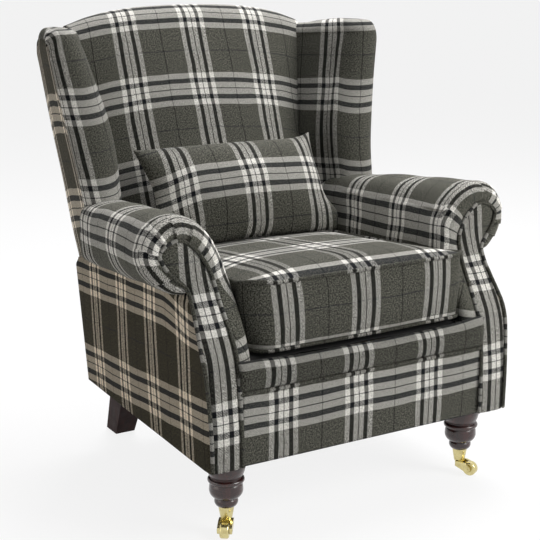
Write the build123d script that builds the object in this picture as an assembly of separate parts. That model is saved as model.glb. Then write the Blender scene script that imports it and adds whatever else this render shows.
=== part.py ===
from build123d import *
import math
import os

# Wing armchair with rolled arms, a loose seat cushion, a scatter cushion, turned
# front legs on cup castors and raked square rear legs.
# Millimetres. +Z is up and the chair faces -Y. The sizes are laid out from a
# datum DATUM_Y in front of the middle of the chair, and main moves the pieces so
# that the origin is on the floor, under the middle.

# ---- overall sizes ---------------------------------------------------------
OVERALL_HEIGHT = 1040
BODY_BOTTOM = 165          # underside of the upholstered body
BODY_FRONT = -412          # front of the arm facings at the bottom
DATUM_Y = 8.4              # middle of the outline, from the datum
BODY_REAR = 253            # outside back, at the underside
BODY_HALF_FRONT = 376      # half width of the body at the front
BODY_HALF_REAR = 354       # half width of the body at the rear
OUTSIDE_RAKE = 11.6        # lean of the outside back, degrees
SEAT_WIDTH = 530           # between the inside arms
ARM_TOP = 661              # top of the scroll at the front
ARM_FALL = 0.107           # drop of the arm for each millimetre towards the back

# ---- wood ------------------------------------------------------------------
BOARD = 24                 # thickness of the frame timber
RAIL_BOTTOM = 170
RAIL_TOP = 300
SIDE_RAIL_INNER = 318
POST_DEPTH = 45            # back posts, front to back
BACK_POST_INNER = 290
CREST_HEIGHT = 60
BLOCK_LEG = 85             # short side of a corner block
BLOCK_HEIGHT = 45

# ---- soft covers -----------------------------------------------------------
PANEL = 8                  # outside panels: tack strip, wadding and cover
FACING = 12                # padded arm facing
BORDER = 12                # padded front border
WELT_RADIUS = 4
LIP_SEAM = 318             # seam under the front lip roll
LIP_TOP = 388
LIP_DEPTH = 40
SEAT_RAKE = 4.5            # fall of the seat towards the back, degrees
SEAT_CLEARANCE = 0.3       # between loose things and what they rest on

# ---- arms ------------------------------------------------------------------
ROLL_RADIUS = 77
ROLL_CENTRE_X = 376
ROLL_CENTRE_Z = 584
ARM_REAR = 165             # where the arm runs into the wing
ARM_FRONT = -400
NECK_Z = 524
FACING_INNER = 307

# ---- back and wings --------------------------------------------------------
INSIDE_BACK_Y = 272        # middle of the inside back, at INSIDE_BACK_Z
INSIDE_BACK_Z = 800
BACK_TOP_DEPTH = 65.8      # inside back to outside back, at the overall height
LUMBAR_Z = 560              # below this the inside back runs straight down
BACK_CROWN = 24
BACK_HALF = 308            # half width of the inside back at the top
ARCH_RISE = 50             # top of the back over its ends at the wings
BACK_WAIST_HALF = 344      # half width of the outside back at WING_BOTTOM
BACK_TOP_HALF = 395        # and at its top corners
CORNER_DROP = 82           # top corners under the overall height
WING_CORNER = (391, 135)   # outer front corner of a wing, as (x, y), at WING_CORNER_Z
WING_CORNER_Z = 610
WING_FLARE = 0.141         # outward for each millimetre up
WING_SWEEP = 0.169         # back for each millimetre up
WING_BOTTOM = 500
WING_DROP = 72             # top of the wings under the overall height
WING_THICKNESS = 88
WING_SHELL = 6

# ---- loose cushions --------------------------------------------------------
CUSHION_SIDE_GAP = 10      # seat cushion to each inside arm
CUSHION_LIFT = 2           # front of the seat cushion over the lip roll
CUSHION_DEPTH = 536
CUSHION_EDGE = 134         # between the two piping seams
CUSHION_CROWN = 22
CUSHION_CORNER = 45
COVER = 4
SCATTER_SIDE_GAP = 21.5    # half of what the scatter cushion is narrower than the seat
SCATTER_HEIGHT = 256
SCATTER_THICKNESS = 120
SCATTER_OFFSET = (-14, 112)   # its middle, in plan
SCATTER_RISE = 100         # its middle over the seat cushion's front edge
SCATTER_LEAN = 25.7        # degrees from upright
SCATTER_EDGE = 5           # half thickness of the knife edge

# ---- legs ------------------------------------------------------------------
FRONT_LEG_X = 306
FRONT_LEG_Y = -350
CUP_TOP = 60.5
CUP_BOTTOM = 31.5
CUP_RADIUS = 17
CUP_FOOT_RADIUS = 12
CUP_WALL = 1.5
CUP_FLOOR = 4
TENON_GAP = 4              # room over the cup floor for the rivet head
BOLT_RADIUS = 4
REAR_LEG_FOOT = (-254, 296.5)
REAR_FOOT_SIZE = (50, 57)
REAR_LEG_HEAD = (-263, 205)
REAR_HEAD_SIZE = (66, 72)
GLIDE_HEIGHT = 3

# ---- castors ---------------------------------------------------------------
WHEEL_RADIUS = 16
WHEEL_WIDTH = 19
CASTOR_TRAIL = 28
AXLE_RADIUS = 2.5
SPINDLE_RADIUS = 4
RUNNING_GAP = 0.05         # radial, shafts in holes
SIDE_GAP = 0.8             # each side of the wheel
HORN_ARM = 5
HORN_ARM_RADIUS = 6.5
BOSS_RADIUS = 10.5
CASTOR_HEADING = {"left": 233.5, "right": 295.0}   # way the wheels trail, degrees


# ---- small helpers ---------------------------------------------------------
def block(x0, x1, y0, y1, z0, z1):
    """Box between two corners."""
    return Pos((x0 + x1) / 2, (y0 + y1) / 2, (z0 + z1) / 2) * Box(x1 - x0, y1 - y0, z1 - z0)


def side_prism(edges, x0, x1):
    """Outline drawn as (y, z), extruded from x0 to x1."""
    plane = Plane((x0, 0, 0), x_dir=(0, 1, 0), z_dir=(1, 0, 0))
    return extrude(make_face(plane * edges), amount=x1 - x0, dir=(1, 0, 0))


def front_prism(edges, y0, y1):
    """Outline drawn as (x, z), extruded from y0 to y1."""
    plane = Plane((0, y1, 0), x_dir=(1, 0, 0), z_dir=(0, -1, 0))
    return extrude(make_face(plane * edges), amount=y1 - y0, dir=(0, -1, 0))


def plan_face(points, z):
    """Level polygon at height z."""
    return make_face(Plane.XY.offset(z) * Polyline(*points, close=True))


def plan_prism(points, z0, z1):
    """Polygon drawn as (x, y), extruded from z0 to z1."""
    return extrude(plan_face(points, z0), amount=z1 - z0, dir=(0, 0, 1))


def trimmed(solid, *firmer):
    """The solid less every piece that already fills part of its space."""
    for other in firmer:
        solid = solid - other
    return max(solid.solids(), key=lambda s: s.volume)


def mirrored(solid):
    return mirror(solid, about=Plane.YZ)


def rod(start, end, radius):
    """Straight round bar between two points."""
    way = Vector(*end) - Vector(*start)
    return extrude(Plane(start, z_dir=way) * Circle(radius), amount=way.length, dir=way)


# ---- shared surfaces -------------------------------------------------------
def rear_y(z):
    """Outside back at height z."""
    return BODY_REAR + (z - BODY_BOTTOM) * math.tan(math.radians(OUTSIDE_RAKE))


def inside_back_y(z):
    """Middle of the inside back at height z. It leans more than the outside back."""
    top_y = rear_y(OVERALL_HEIGHT) - BACK_TOP_DEPTH
    slope = (top_y - INSIDE_BACK_Y) / (OVERALL_HEIGHT - INSIDE_BACK_Z)
    return INSIDE_BACK_Y + (max(z, LUMBAR_Z) - INSIDE_BACK_Z) * slope


def body_half(y):
    """Half width of the body at depth y, outside the panels."""
    share = (y - BODY_FRONT) / (BODY_REAR - BODY_FRONT)
    return BODY_HALF_FRONT + share * (BODY_HALF_REAR - BODY_HALF_FRONT)


def arm_front_edge(shift):
    """Side view of an arm: its curved front edge, moved back by shift, and all behind."""
    def at(y, z):
        return (y + shift, z)

    toe, knee = at(BODY_FRONT, BODY_BOTTOM), at(BODY_FRONT + 3, 310)
    bend, throat = at(BODY_FRONT + 36, 425), at(BODY_FRONT + 82, 495)
    nose, top = at(BODY_FRONT + 112, 596), at(BODY_FRONT + 113, ARM_TOP + 20)
    behind = [top, (ARM_REAR, ARM_TOP + 20), (ARM_REAR, BODY_BOTTOM), toe]
    return (
        Line(toe, knee)
        + ThreePointArc(knee, at(BODY_FRONT + 12, 374), bend)
        + Line(bend, throat)
        + ThreePointArc(throat, at(BODY_FRONT + 104, 545), nose)
        + Line(nose, top)
        + Polyline(*behind[:-1])
        + Line(behind[-2], toe)
    )


def back_outline():
    """Front view of the whole back with its wings."""
    foot, waist, top = BODY_HALF_REAR, BACK_WAIST_HALF, BACK_TOP_HALF
    ends = OVERALL_HEIGHT - CORNER_DROP
    return (
        Line((-top, ends), (-waist, WING_BOTTOM))
        + Line((-waist, WING_BOTTOM), (-foot, BODY_BOTTOM))
        + Line((-foot, BODY_BOTTOM), (foot, BODY_BOTTOM))
        + Line((foot, BODY_BOTTOM), (waist, WING_BOTTOM))
        + Line((waist, WING_BOTTOM), (top, ends))
        + ThreePointArc((top, ends), (0, OVERALL_HEIGHT), (-top, ends))
    )


def wing_top():
    return OVERALL_HEIGHT - WING_DROP


def wing_front(z):
    """Outer front corner of the right wing at height z, as (x, y)."""
    rise = z - WING_CORNER_Z
    return Vector(WING_CORNER[0] + rise * WING_FLARE, WING_CORNER[1] + rise * WING_SWEEP)


def wing_rear(z):
    """Outer rear corner of the right wing at height z, as (x, y)."""
    flare = (BACK_TOP_HALF - BACK_WAIST_HALF) / (OVERALL_HEIGHT - CORNER_DROP - WING_BOTTOM)
    return Vector(BACK_WAIST_HALF + (z - WING_BOTTOM) * flare, rear_y(z) - PANEL)


# ---- frame -----------------------------------------------------------------
def make_frame(parts):
    rail_out = SIDE_RAIL_INNER + BOARD
    front = BODY_FRONT + BORDER + 4
    rear_rail_y = rear_y(RAIL_BOTTOM) - PANEL - 34
    parts["front_seat_rail"] = block(
        -SIDE_RAIL_INNER, SIDE_RAIL_INNER, front, front + BOARD, RAIL_BOTTOM, RAIL_TOP)
    side_rail = block(SIDE_RAIL_INNER, rail_out, front, rear_rail_y + BOARD, RAIL_BOTTOM, RAIL_TOP)
    parts["side_seat_rail_right"] = side_rail
    parts["side_seat_rail_left"] = mirrored(side_rail)

    def post_edge(z):
        return rear_y(z) - PANEL - 4

    post_top = OVERALL_HEIGHT - ARCH_RISE - CREST_HEIGHT
    post = side_prism(Polyline(
        (post_edge(RAIL_BOTTOM), RAIL_BOTTOM), (post_edge(post_top), post_top),
        (post_edge(post_top) - POST_DEPTH, post_top),
        (post_edge(RAIL_BOTTOM) - POST_DEPTH, RAIL_BOTTOM), close=True),
        BACK_POST_INNER, SIDE_RAIL_INNER)
    parts["back_post_right"] = post
    parts["back_post_left"] = mirrored(post)
    parts["back_seat_rail"] = trimmed(block(
        -BACK_POST_INNER, BACK_POST_INNER, rear_rail_y, rear_rail_y + BOARD, RAIL_BOTTOM, RAIL_TOP))

    def across(z0, z1, half):
        """Board between the back posts, leaning with them."""
        return side_prism(Polyline(
            (post_edge(z0) - 5, z0), (post_edge(z1) - 5, z1),
            (post_edge(z1) - 5 - BOARD, z1), (post_edge(z0) - 5 - BOARD, z0), close=True),
            -half, half)

    parts["lower_back_rail"] = across(400, 460, BACK_POST_INNER)
    crest_ends = OVERALL_HEIGHT - ARCH_RISE - 24
    crest_shape = (
        Line((-SIDE_RAIL_INNER, post_top), (SIDE_RAIL_INNER, post_top))
        + Line((SIDE_RAIL_INNER, post_top), (SIDE_RAIL_INNER, crest_ends))
        + ThreePointArc((SIDE_RAIL_INNER, crest_ends), (0, OVERALL_HEIGHT - 20),
                        (-SIDE_RAIL_INNER, crest_ends))
        + Line((-SIDE_RAIL_INNER, crest_ends), (-SIDE_RAIL_INNER, post_top))
    )
    parts["crest_rail"] = (
        across(post_top, OVERALL_HEIGHT, SIDE_RAIL_INNER) & front_prism(crest_shape, 0, 600))

    blocks = []
    for y, way in ((front + BOARD, 1), (rear_rail_y, -1)):
        corner = plan_prism(
            [(SIDE_RAIL_INNER, y), (SIDE_RAIL_INNER - BLOCK_LEG, y), (SIDE_RAIL_INNER, y + way * BLOCK_LEG)],
            RAIL_BOTTOM, RAIL_BOTTOM + BLOCK_HEIGHT)
        corner = trimmed(corner, post)
        blocks += [corner, mirrored(corner)]
    parts["corner_blocks"] = Compound(blocks)

    # arm front board: stands on the outside of the side rail and follows the facing
    stump_back = 62
    lean = side_prism(arm_front_edge(FACING + 6), rail_out, rail_out + BOARD)
    keep = side_prism(arm_front_edge(FACING + 6 + stump_back), rail_out - 1, rail_out + BOARD + 1)
    arm_post = trimmed(lean - keep & block(rail_out, rail_out + BOARD, -500, 200, RAIL_BOTTOM, 560))
    parts["arm_front_board_right"] = arm_post
    parts["arm_front_board_left"] = mirrored(arm_post)

    # arm board: lies in the roll, from the front board to the wing
    arm_y0, arm_y1 = BODY_FRONT + 150, ARM_REAR + 20
    board_z = ROLL_CENTRE_Z - 12
    arm_board = side_prism(Polyline(
        (arm_y0, board_z), (arm_y0, board_z + BOARD),
        (arm_y1, board_z + BOARD - (arm_y1 - arm_y0) * ARM_FALL),
        (arm_y1, board_z - (arm_y1 - arm_y0) * ARM_FALL), close=True),
        SIDE_RAIL_INNER + 6, SIDE_RAIL_INNER + 42)
    arm_board = trimmed(arm_board, arm_post)
    parts["arm_board_right"] = arm_board
    parts["arm_board_left"] = mirrored(arm_board)

    wing_board = trimmed(
        wing_slab(WING_SHELL + 6, WING_SHELL + 6 + 20, 30, 24, WING_BOTTOM + 20, wing_top() - 40),
        arm_board, post, parts["crest_rail"])
    parts["wing_board_right"] = wing_board
    parts["wing_board_left"] = mirrored(wing_board)


def wing_slab(outer, inner, front_margin, rear_margin, z0, z1):
    """Slab along the outer face of the right wing, between two depths below it."""
    faces = []
    for z in (z0, z1):
        front, rear = wing_front(z), wing_rear(z)
        along = (rear - front).normalized()
        inward = Vector(-along.Y, along.X)
        start, end = front + along * front_margin, rear - along * rear_margin
        corners = [start + inward * outer, end + inward * outer,
                   end + inward * inner, start + inward * inner]
        faces.append(make_face(Plane.XY.offset(z) * Polyline(*[(c.X, c.Y) for c in corners], close=True)))
    return loft(faces, ruled=True)


def make_fasteners(parts):
    """Screws and bolts stand in holes of their own size."""
    front = BODY_FRONT + BORDER + 4
    rail_out = SIDE_RAIL_INNER + BOARD
    screws = []
    for z in (RAIL_BOTTOM + 40, RAIL_BOTTOM + 100):
        screw = rod((rail_out, front + BOARD / 2, z), (rail_out - 60, front + BOARD / 2, z), 2.5)
        post_y = rear_y(z) - PANEL - 4 - POST_DEPTH / 2
        post_screw = rod((rail_out, post_y, z), (rail_out - 45, post_y, z), 2.5)
        screws += [screw, mirrored(screw), post_screw, mirrored(post_screw)]
    drill(parts, screws, ["front_seat_rail", "side_seat_rail_right", "side_seat_rail_left",
                          "back_post_right", "back_post_left"])
    parts["frame_screws"] = Compound(screws)


def drill(parts, pins, names):
    """Cut the pins out of the named pieces."""
    for name in names:
        shape = parts[name]
        for pin in pins:
            shape = shape - pin
        parts[name] = shape


# ---- seat suspension -------------------------------------------------------
SPRING_COUNT = 5
SPRING_TURNS = 11
SPRING_WIRE = 1.8
SPRING_HALF_RUN = 14
CLIP_METAL = 1.2           # thickness of a spring clip


def make_seat(parts):
    front = BODY_FRONT + BORDER + 4
    rear_rail_y = rear_y(RAIL_BOTTOM) - PANEL - 34
    pitch = (rear_rail_y - front - BOARD) / (SPRING_TURNS + 1)
    start_y = front + BOARD - 4
    wire_z = RAIL_TOP + SPRING_WIRE
    springs, clips = [], []
    for i in range(SPRING_COUNT):
        x = (i - (SPRING_COUNT - 1) / 2) * (SEAT_WIDTH - 60) / SPRING_COUNT
        y, side = start_y, 1
        path = Line((x - SPRING_HALF_RUN, y, wire_z), (x + SPRING_HALF_RUN, y, wire_z))
        turns = int((rear_rail_y + 8 - start_y) / pitch)
        for _ in range(turns):
            bend = x + side * SPRING_HALF_RUN
            path += ThreePointArc((bend, y, wire_z), (bend + side * pitch / 2, y + pitch / 2, wire_z),
                                  (bend, y + pitch, wire_z))
            y += pitch
            path += Line((bend, y, wire_z), (bend - side * 2 * SPRING_HALF_RUN, y, wire_z))
            side = -side
        section = Plane(path @ 0, z_dir=path % 0) * Circle(SPRING_WIRE)
        springs.append(sweep(section, path=path))
        room = SPRING_WIRE + 0.1
        for clip_y in (start_y, y):
            clip = block(x - 9, x + 9, clip_y - 5, clip_y + 5, RAIL_TOP, wire_z + room + CLIP_METAL)
            channel = block(x - 10, x + 10, clip_y - room, clip_y + room, RAIL_TOP - 1, wire_z + room)
            clips.append(clip - channel)
    parts["seat_springs"] = Compound(springs)
    parts["spring_clips"] = Compound(clips)

    cloth_z = wire_z + SPRING_WIRE + 0.1 + CLIP_METAL + 0.2
    half = SIDE_RAIL_INNER + BOARD / 2
    cloth = block(-half, half, front + 4, rear_rail_y + BOARD - 4, cloth_z, cloth_z + 1.5)
    parts["seat_hessian"] = trimmed(cloth, parts["back_post_right"], parts["back_post_left"])

    # platform pad: falls towards the back like the cushion on it
    fall = math.tan(math.radians(SEAT_RAKE))
    deck_front, deck_rear = front + 24, inside_back_y(LIP_TOP) + 40
    deck = side_prism(Polyline(
        (deck_front, cloth_z + 1.5), (deck_front, LIP_TOP),
        (deck_rear, LIP_TOP - (deck_rear - deck_front) * fall), (deck_rear, cloth_z + 1.5), close=True),
        -SEAT_WIDTH / 2, SEAT_WIDTH / 2)

    # lip roll: bulging front edge of the seat
    lip_x = FACING_INNER - SEAT_CLEARANCE
    lip = side_prism(
        Line((BODY_FRONT + 4, LIP_SEAM), (BODY_FRONT + 4 + LIP_DEPTH, LIP_SEAM))
        + Line((BODY_FRONT + 4 + LIP_DEPTH, LIP_SEAM), (BODY_FRONT + 4 + LIP_DEPTH, LIP_TOP - 3))
        + ThreePointArc((BODY_FRONT + 4 + LIP_DEPTH, LIP_TOP - 3), (BODY_FRONT + 8, LIP_TOP - 16),
                        (BODY_FRONT + 4, LIP_SEAM)),
        -lip_x, lip_x)
    parts["front_lip_roll"] = trimmed(lip, parts["front_seat_rail"], parts["seat_hessian"])
    parts["seat_platform_pad"] = trimmed(deck, parts["front_lip_roll"])

    parts["front_border"] = block(-lip_x, lip_x, BODY_FRONT + 2, BODY_FRONT + 2 + BORDER,
                                  BODY_BOTTOM, LIP_SEAM)
    welt = rod((-lip_x, BODY_FRONT + 2, LIP_SEAM), (lip_x, BODY_FRONT + 2, LIP_SEAM), WELT_RADIUS)
    drill(parts, [welt], ["front_border", "front_lip_roll"])
    parts["front_border_welt"] = welt


# ---- arms ------------------------------------------------------------------
def arm_section(y):
    """Front view of the right arm's padding at depth y."""
    drop = (y - BODY_FRONT - 110) * ARM_FALL
    shrink = 1 - 0.00055 * (y - BODY_FRONT - 110)
    r = ROLL_RADIUS * shrink
    cx, cz = ROLL_CENTRE_X - (1 - shrink) * 60, ROLL_CENTRE_Z - drop * 0.6
    inner = SEAT_WIDTH / 2
    foot = RAIL_TOP + 8
    points = [(inner, foot), (inner + 2, 470), (cx - r * 0.92, cz + r * 0.4), (cx, cz + r),
              (cx + r, cz), (cx + r * 0.35, cz - r * 0.9), (cx - 8, cz - r * 0.8), (cx - 30, foot)]
    plane = Plane((0, y, 0), x_dir=(1, 0, 0), z_dir=(0, -1, 0))
    edges = (
        Line(points[0], points[1])
        + ThreePointArc(points[1], (inner + 8, 545), points[2])
        + ThreePointArc(points[2], (cx - r * 0.55, cz + r * 0.84), points[3])
        + ThreePointArc(points[3], (cx + r * 0.707, cz + r * 0.707), points[4])
        + ThreePointArc(points[4], (cx + r * 0.8, cz - r * 0.6), points[5])
        + Line(points[5], points[6])
        + Line(points[6], points[7])
        + Line(points[7], points[0])
    )
    return make_face(plane * edges)


def facing_outline(inset):
    """Front view of the right arm facing: a tear drop on a long strip."""
    i = inset
    return (
        Line((FACING_INNER + i, BODY_BOTTOM), (FACING_INNER + 6 + i, 440))
        + Line((FACING_INNER + 6 + i, 440), (FACING_INNER + 11 + i, 526))
        + ThreePointArc((FACING_INNER + 11 + i, 526), (FACING_INNER + 34 + i, 595 - i), (383, 617 - i))
        + ThreePointArc((383, 617 - i), (422 - i, 590), (391, 541 + i))
        + Line((391, 541 + i), (371 - i, NECK_Z))
        + Line((371 - i, NECK_Z), (374 - i, 455))
        + ThreePointArc((374 - i, 455), (379 - i, 395), (376 - i, 320))
        + Line((376 - i, 320), (371 - i, BODY_BOTTOM))
        + Line((371 - i, BODY_BOTTOM), (FACING_INNER + i, BODY_BOTTOM))
    )


def make_arms(parts):
    front_band = side_prism(arm_front_edge(0), 200, 500)
    behind_facing = side_prism(arm_front_edge(FACING), 200, 500)
    facing_skin = front_band - behind_facing
    facing = trimmed(front_prism(facing_outline(WELT_RADIUS), BODY_FRONT - 20, ARM_REAR) & facing_skin)
    outer = front_prism(facing_outline(0), BODY_FRONT - 20, ARM_REAR)
    inner = front_prism(facing_outline(WELT_RADIUS), BODY_FRONT - 20, ARM_REAR)
    welt = trimmed((outer - inner) & facing_skin)
    parts["arm_facing_right"] = facing
    parts["arm_facing_left"] = mirrored(facing)
    parts["facing_welts"] = Compound([welt, mirrored(welt)])

    pad = loft([arm_section(ARM_FRONT - 12), arm_section(ARM_REAR)], ruled=True)
    pad = pad & side_prism(arm_front_edge(2), 200, 500)
    firm = [parts[n] for n in (
        "side_seat_rail_right", "arm_front_board_right", "arm_board_right", "wing_board_right",
        "arm_facing_right", "front_lip_roll", "seat_platform_pad", "seat_hessian",
        "front_border", "front_border_welt")]
    pad = trimmed(pad, welt, *firm)
    parts["arm_pad_right"] = pad
    parts["arm_pad_left"] = mirrored(pad)

    # outside arm panel: from the facing round to the outside back, under the roll
    top = NECK_Z - 18
    y0, y1 = BODY_FRONT + FACING, BODY_REAR - PANEL
    lean = side_prism(arm_front_edge(FACING), 300, 500)
    rear_cut = side_prism(Polyline(
        (-600, 0), (rear_y(0) - PANEL, 0), (rear_y(700) - PANEL, 700), (-600, 700), close=True), 300, 500)
    long_panel = plan_prism(
        [(body_half(y0) - PANEL, y0), (body_half(y0), y0),
         (body_half(y1 + 90), y1 + 90), (body_half(y1 + 90) - PANEL, y1 + 90)], BODY_BOTTOM, top)
    keep_rear = block(300, 500, ARM_REAR - 60, 600, 0, 700)
    panel = trimmed(long_panel & rear_cut & (lean + keep_rear), pad, parts["wing_board_right"],
                    parts["arm_front_board_right"])
    parts["outside_arm_right"] = panel
    parts["outside_arm_left"] = mirrored(panel)


# ---- back and wings --------------------------------------------------------
def wing_section(z):
    """Plan view of the right wing's padding at height z."""
    front, rear = wing_front(z), wing_rear(z)
    along = (rear - front).normalized()
    inward = Vector(-along.Y, along.X)
    lip = front + Vector(-WING_THICKNESS, 22)
    inner_rear = Vector(BACK_HALF - 8, inside_back_y(z) + 40)
    outer = front + inward * WING_SHELL
    outer_rear = rear + inward * WING_SHELL
    back_corner = Vector(BACK_HALF, outer_rear.Y)
    nose = (outer + lip) * 0.5 + Vector(-4, -24)
    edges = (
        ThreePointArc((outer.X, outer.Y), (nose.X, nose.Y), (lip.X, lip.Y))
        + Line((lip.X, lip.Y), (inner_rear.X, inner_rear.Y))
        + Line((inner_rear.X, inner_rear.Y), (back_corner.X, back_corner.Y))
        + Line((back_corner.X, back_corner.Y), (outer_rear.X, outer_rear.Y))
        + Line((outer_rear.X, outer_rear.Y), (outer.X, outer.Y))
    )
    return make_face(Plane.XY.offset(z) * edges)


def back_section(z):
    """Plan view of the inside back's padding at height z, crowned at the front."""
    middle, side, rear = inside_back_y(z), inside_back_y(z) + BACK_CROWN, rear_y(z) - PANEL
    half = BACK_HALF
    edges = (
        ThreePointArc((-half, side), (0, middle), (half, side))
        + Line((half, side), (half, rear))
        + Line((half, rear), (-half, rear))
        + Line((-half, rear), (-half, side))
    )
    return make_face(Plane.XY.offset(z) * edges)


def make_back(parts):
    foot_y, top_y = rear_y(BODY_BOTTOM), rear_y(OVERALL_HEIGHT)
    rear_skin = side_prism(Polyline(
        (foot_y - PANEL, BODY_BOTTOM), (foot_y, BODY_BOTTOM),
        (top_y, OVERALL_HEIGHT), (top_y - PANEL, OVERALL_HEIGHT), close=True), -500, 500)
    parts["outside_back"] = trimmed(rear_skin & front_prism(back_outline(), 0, 700))

    # webbing and hessian carry the padding between the back posts
    web_t = 2
    webs = []

    def web_y(z):
        return rear_y(z) - PANEL - 4 - POST_DEPTH - web_t

    for i in range(5):
        z = 500 + i * 88
        webs.append(side_prism(Polyline(
            (web_y(z), z), (web_y(z + 50), z + 50), (web_y(z + 50) + web_t, z + 50), (web_y(z) + web_t, z),
            close=True), -SIDE_RAIL_INNER + 4, SIDE_RAIL_INNER - 4))
    parts["back_webbing"] = Compound([trimmed(w) for w in webs])
    z0, z1 = 400, OVERALL_HEIGHT - ARCH_RISE - CREST_HEIGHT - 4
    parts["back_hessian"] = side_prism(Polyline(
        (web_y(z0) - 1.5, z0), (web_y(z1) - 1.5, z1), (web_y(z1), z1), (web_y(z0), z0), close=True),
        -SIDE_RAIL_INNER + 12, SIDE_RAIL_INNER - 12)

    # inside back pad, in front of the hessian
    levels = [370, 560, 800, OVERALL_HEIGHT]
    pad = loft([back_section(z) for z in levels], ruled=True)
    over = OVERALL_HEIGHT + 60
    ahead = side_prism(Polyline(
        (-200, 0), (web_y(0) - 1.5, 0), (web_y(z1) - 1.5, z1), (rear_y(z1) - PANEL, z1 + 1),
        (rear_y(over) - PANEL, over), (-200, over), close=True), -400, 400)
    pad = pad & ahead & front_prism(back_outline(), 0, 700)
    pad = trimmed(pad, parts["crest_rail"], parts["back_post_right"], parts["back_post_left"],
                  parts["seat_platform_pad"], parts["lower_back_rail"], parts["wing_board_right"],
                  parts["wing_board_left"], parts["arm_pad_right"], parts["arm_pad_left"],
                  parts["seat_hessian"])
    parts["inside_back_pad"] = pad

    wing = loft([wing_section(z) for z in (WING_BOTTOM, wing_top())], ruled=True)
    wing = trimmed(wing, parts["wing_board_right"], parts["arm_board_right"], parts["arm_pad_right"],
                   parts["back_post_right"], parts["crest_rail"], parts["inside_back_pad"],
                   parts["outside_back"], parts["outside_arm_right"], *parts["back_webbing"].solids(),
                   parts["back_hessian"])
    parts["wing_pad_right"] = wing
    parts["wing_pad_left"] = mirrored(wing)
    shell = trimmed(wing_slab(0, WING_SHELL, 0, 0, WING_BOTTOM, wing_top()), wing, parts["arm_pad_right"],
                    parts["outside_arm_right"], parts["outside_back"], parts["arm_board_right"])
    parts["outside_wing_right"] = shell
    parts["outside_wing_left"] = mirrored(shell)


# ---- loose cushions --------------------------------------------------------
def rounded(width, depth, radius, z):
    return Plane.XY.offset(z) * RectangleRounded(width, depth, radius)


def cushion_form(shrink):
    """Box cushion: piped edges at full size, bulging sides and a crowned top."""
    w = SEAT_WIDTH - 2 * CUSHION_SIDE_GAP - 2 * shrink
    d = CUSHION_DEPTH - 2 * shrink
    r = CUSHION_CORNER - shrink
    base, top = shrink, CUSHION_EDGE - shrink
    crown = CUSHION_CROWN
    reach = min(w, d)
    lower = loft([rounded(w - 24, d - 24, r, base), rounded(w - 3, d - 3, r, base + 4)], ruled=True)
    waist = loft([rounded(w - 3, d - 3, r, base + 4), rounded(w, d, r, (base + top) / 2),
                  rounded(w - 3, d - 3, r, top)])
    dome = [rounded(w - 3, d - 3, r, top)]
    for inset, rise, ease in ((0.08, 0.45, 4), (0.3, 0.85, 10), (0.65, 1, 20)):
        dome.append(rounded(w - inset * reach, d - inset * reach, r + ease, top + crown * rise))
    dome = loft(dome)
    return trimmed(lower + waist + dome)


def knife_edge_form(width, height, thickness, edge):
    """Rectangular knife edge cushion lying flat, its sides drawn in between corners."""
    def rim(grow, level):
        w, h = width / 2 - grow, height / 2 - grow
        pull = max(0.0, 9 - grow * 0.08)
        corners = [(-w, -h), (w, -h), (w, h), (-w, h)]
        middles = [(0, -h + pull), (w - pull, 0), (0, h - pull), (-w + pull, 0)]
        loop = Curve() + [
            ThreePointArc(corners[i], middles[i], corners[(i + 1) % 4]) for i in range(4)]
        return make_face(Plane.XY.offset(level) * loop)

    half = thickness / 2
    levels = [(0, edge), (14, half * 0.42), (38, half * 0.76), (72, half * 0.95), (108, half)]
    up = loft([rim(g, z) for g, z in levels])
    down = loft([rim(g, -z) for g, z in levels])
    middle = loft([rim(0, -edge), rim(0, edge)], ruled=True)
    return trimmed(up + middle + down)


def make_cushions(parts):
    seat_place = (
        Pos(0, BODY_FRONT + 25, LIP_TOP + CUSHION_LIFT)
        * Rot(-SEAT_RAKE, 0, 0)
        * Pos(0, CUSHION_DEPTH / 2, 0)
    )
    outer, inner = cushion_form(0), cushion_form(COVER)
    parts["seat_cushion_cover"] = seat_place * (outer - inner)
    parts["seat_cushion_core"] = seat_place * inner
    zip_half = 200
    zip_z = CUSHION_EDGE / 2
    zip_tape = Pos(0, CUSHION_DEPTH / 2 + 0.6, zip_z) * Box(2 * zip_half, 1.2, 12)
    parts["seat_cushion_zip"] = seat_place * trimmed(zip_tape, outer)

    scatter_z = LIP_TOP + CUSHION_LIFT + CUSHION_EDGE + SCATTER_RISE
    scatter_width = SEAT_WIDTH - 2 * SCATTER_SIDE_GAP
    scatter_place = Pos(*SCATTER_OFFSET, scatter_z) * Rot(90 - SCATTER_LEAN, 0, 0)
    outer = knife_edge_form(scatter_width, SCATTER_HEIGHT, SCATTER_THICKNESS, SCATTER_EDGE)
    inner = knife_edge_form(scatter_width - 24, SCATTER_HEIGHT - 24, SCATTER_THICKNESS - 2 * COVER, 2)
    parts["scatter_cushion_cover"] = scatter_place * (outer - inner)
    parts["scatter_cushion_filling"] = scatter_place * inner


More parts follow.
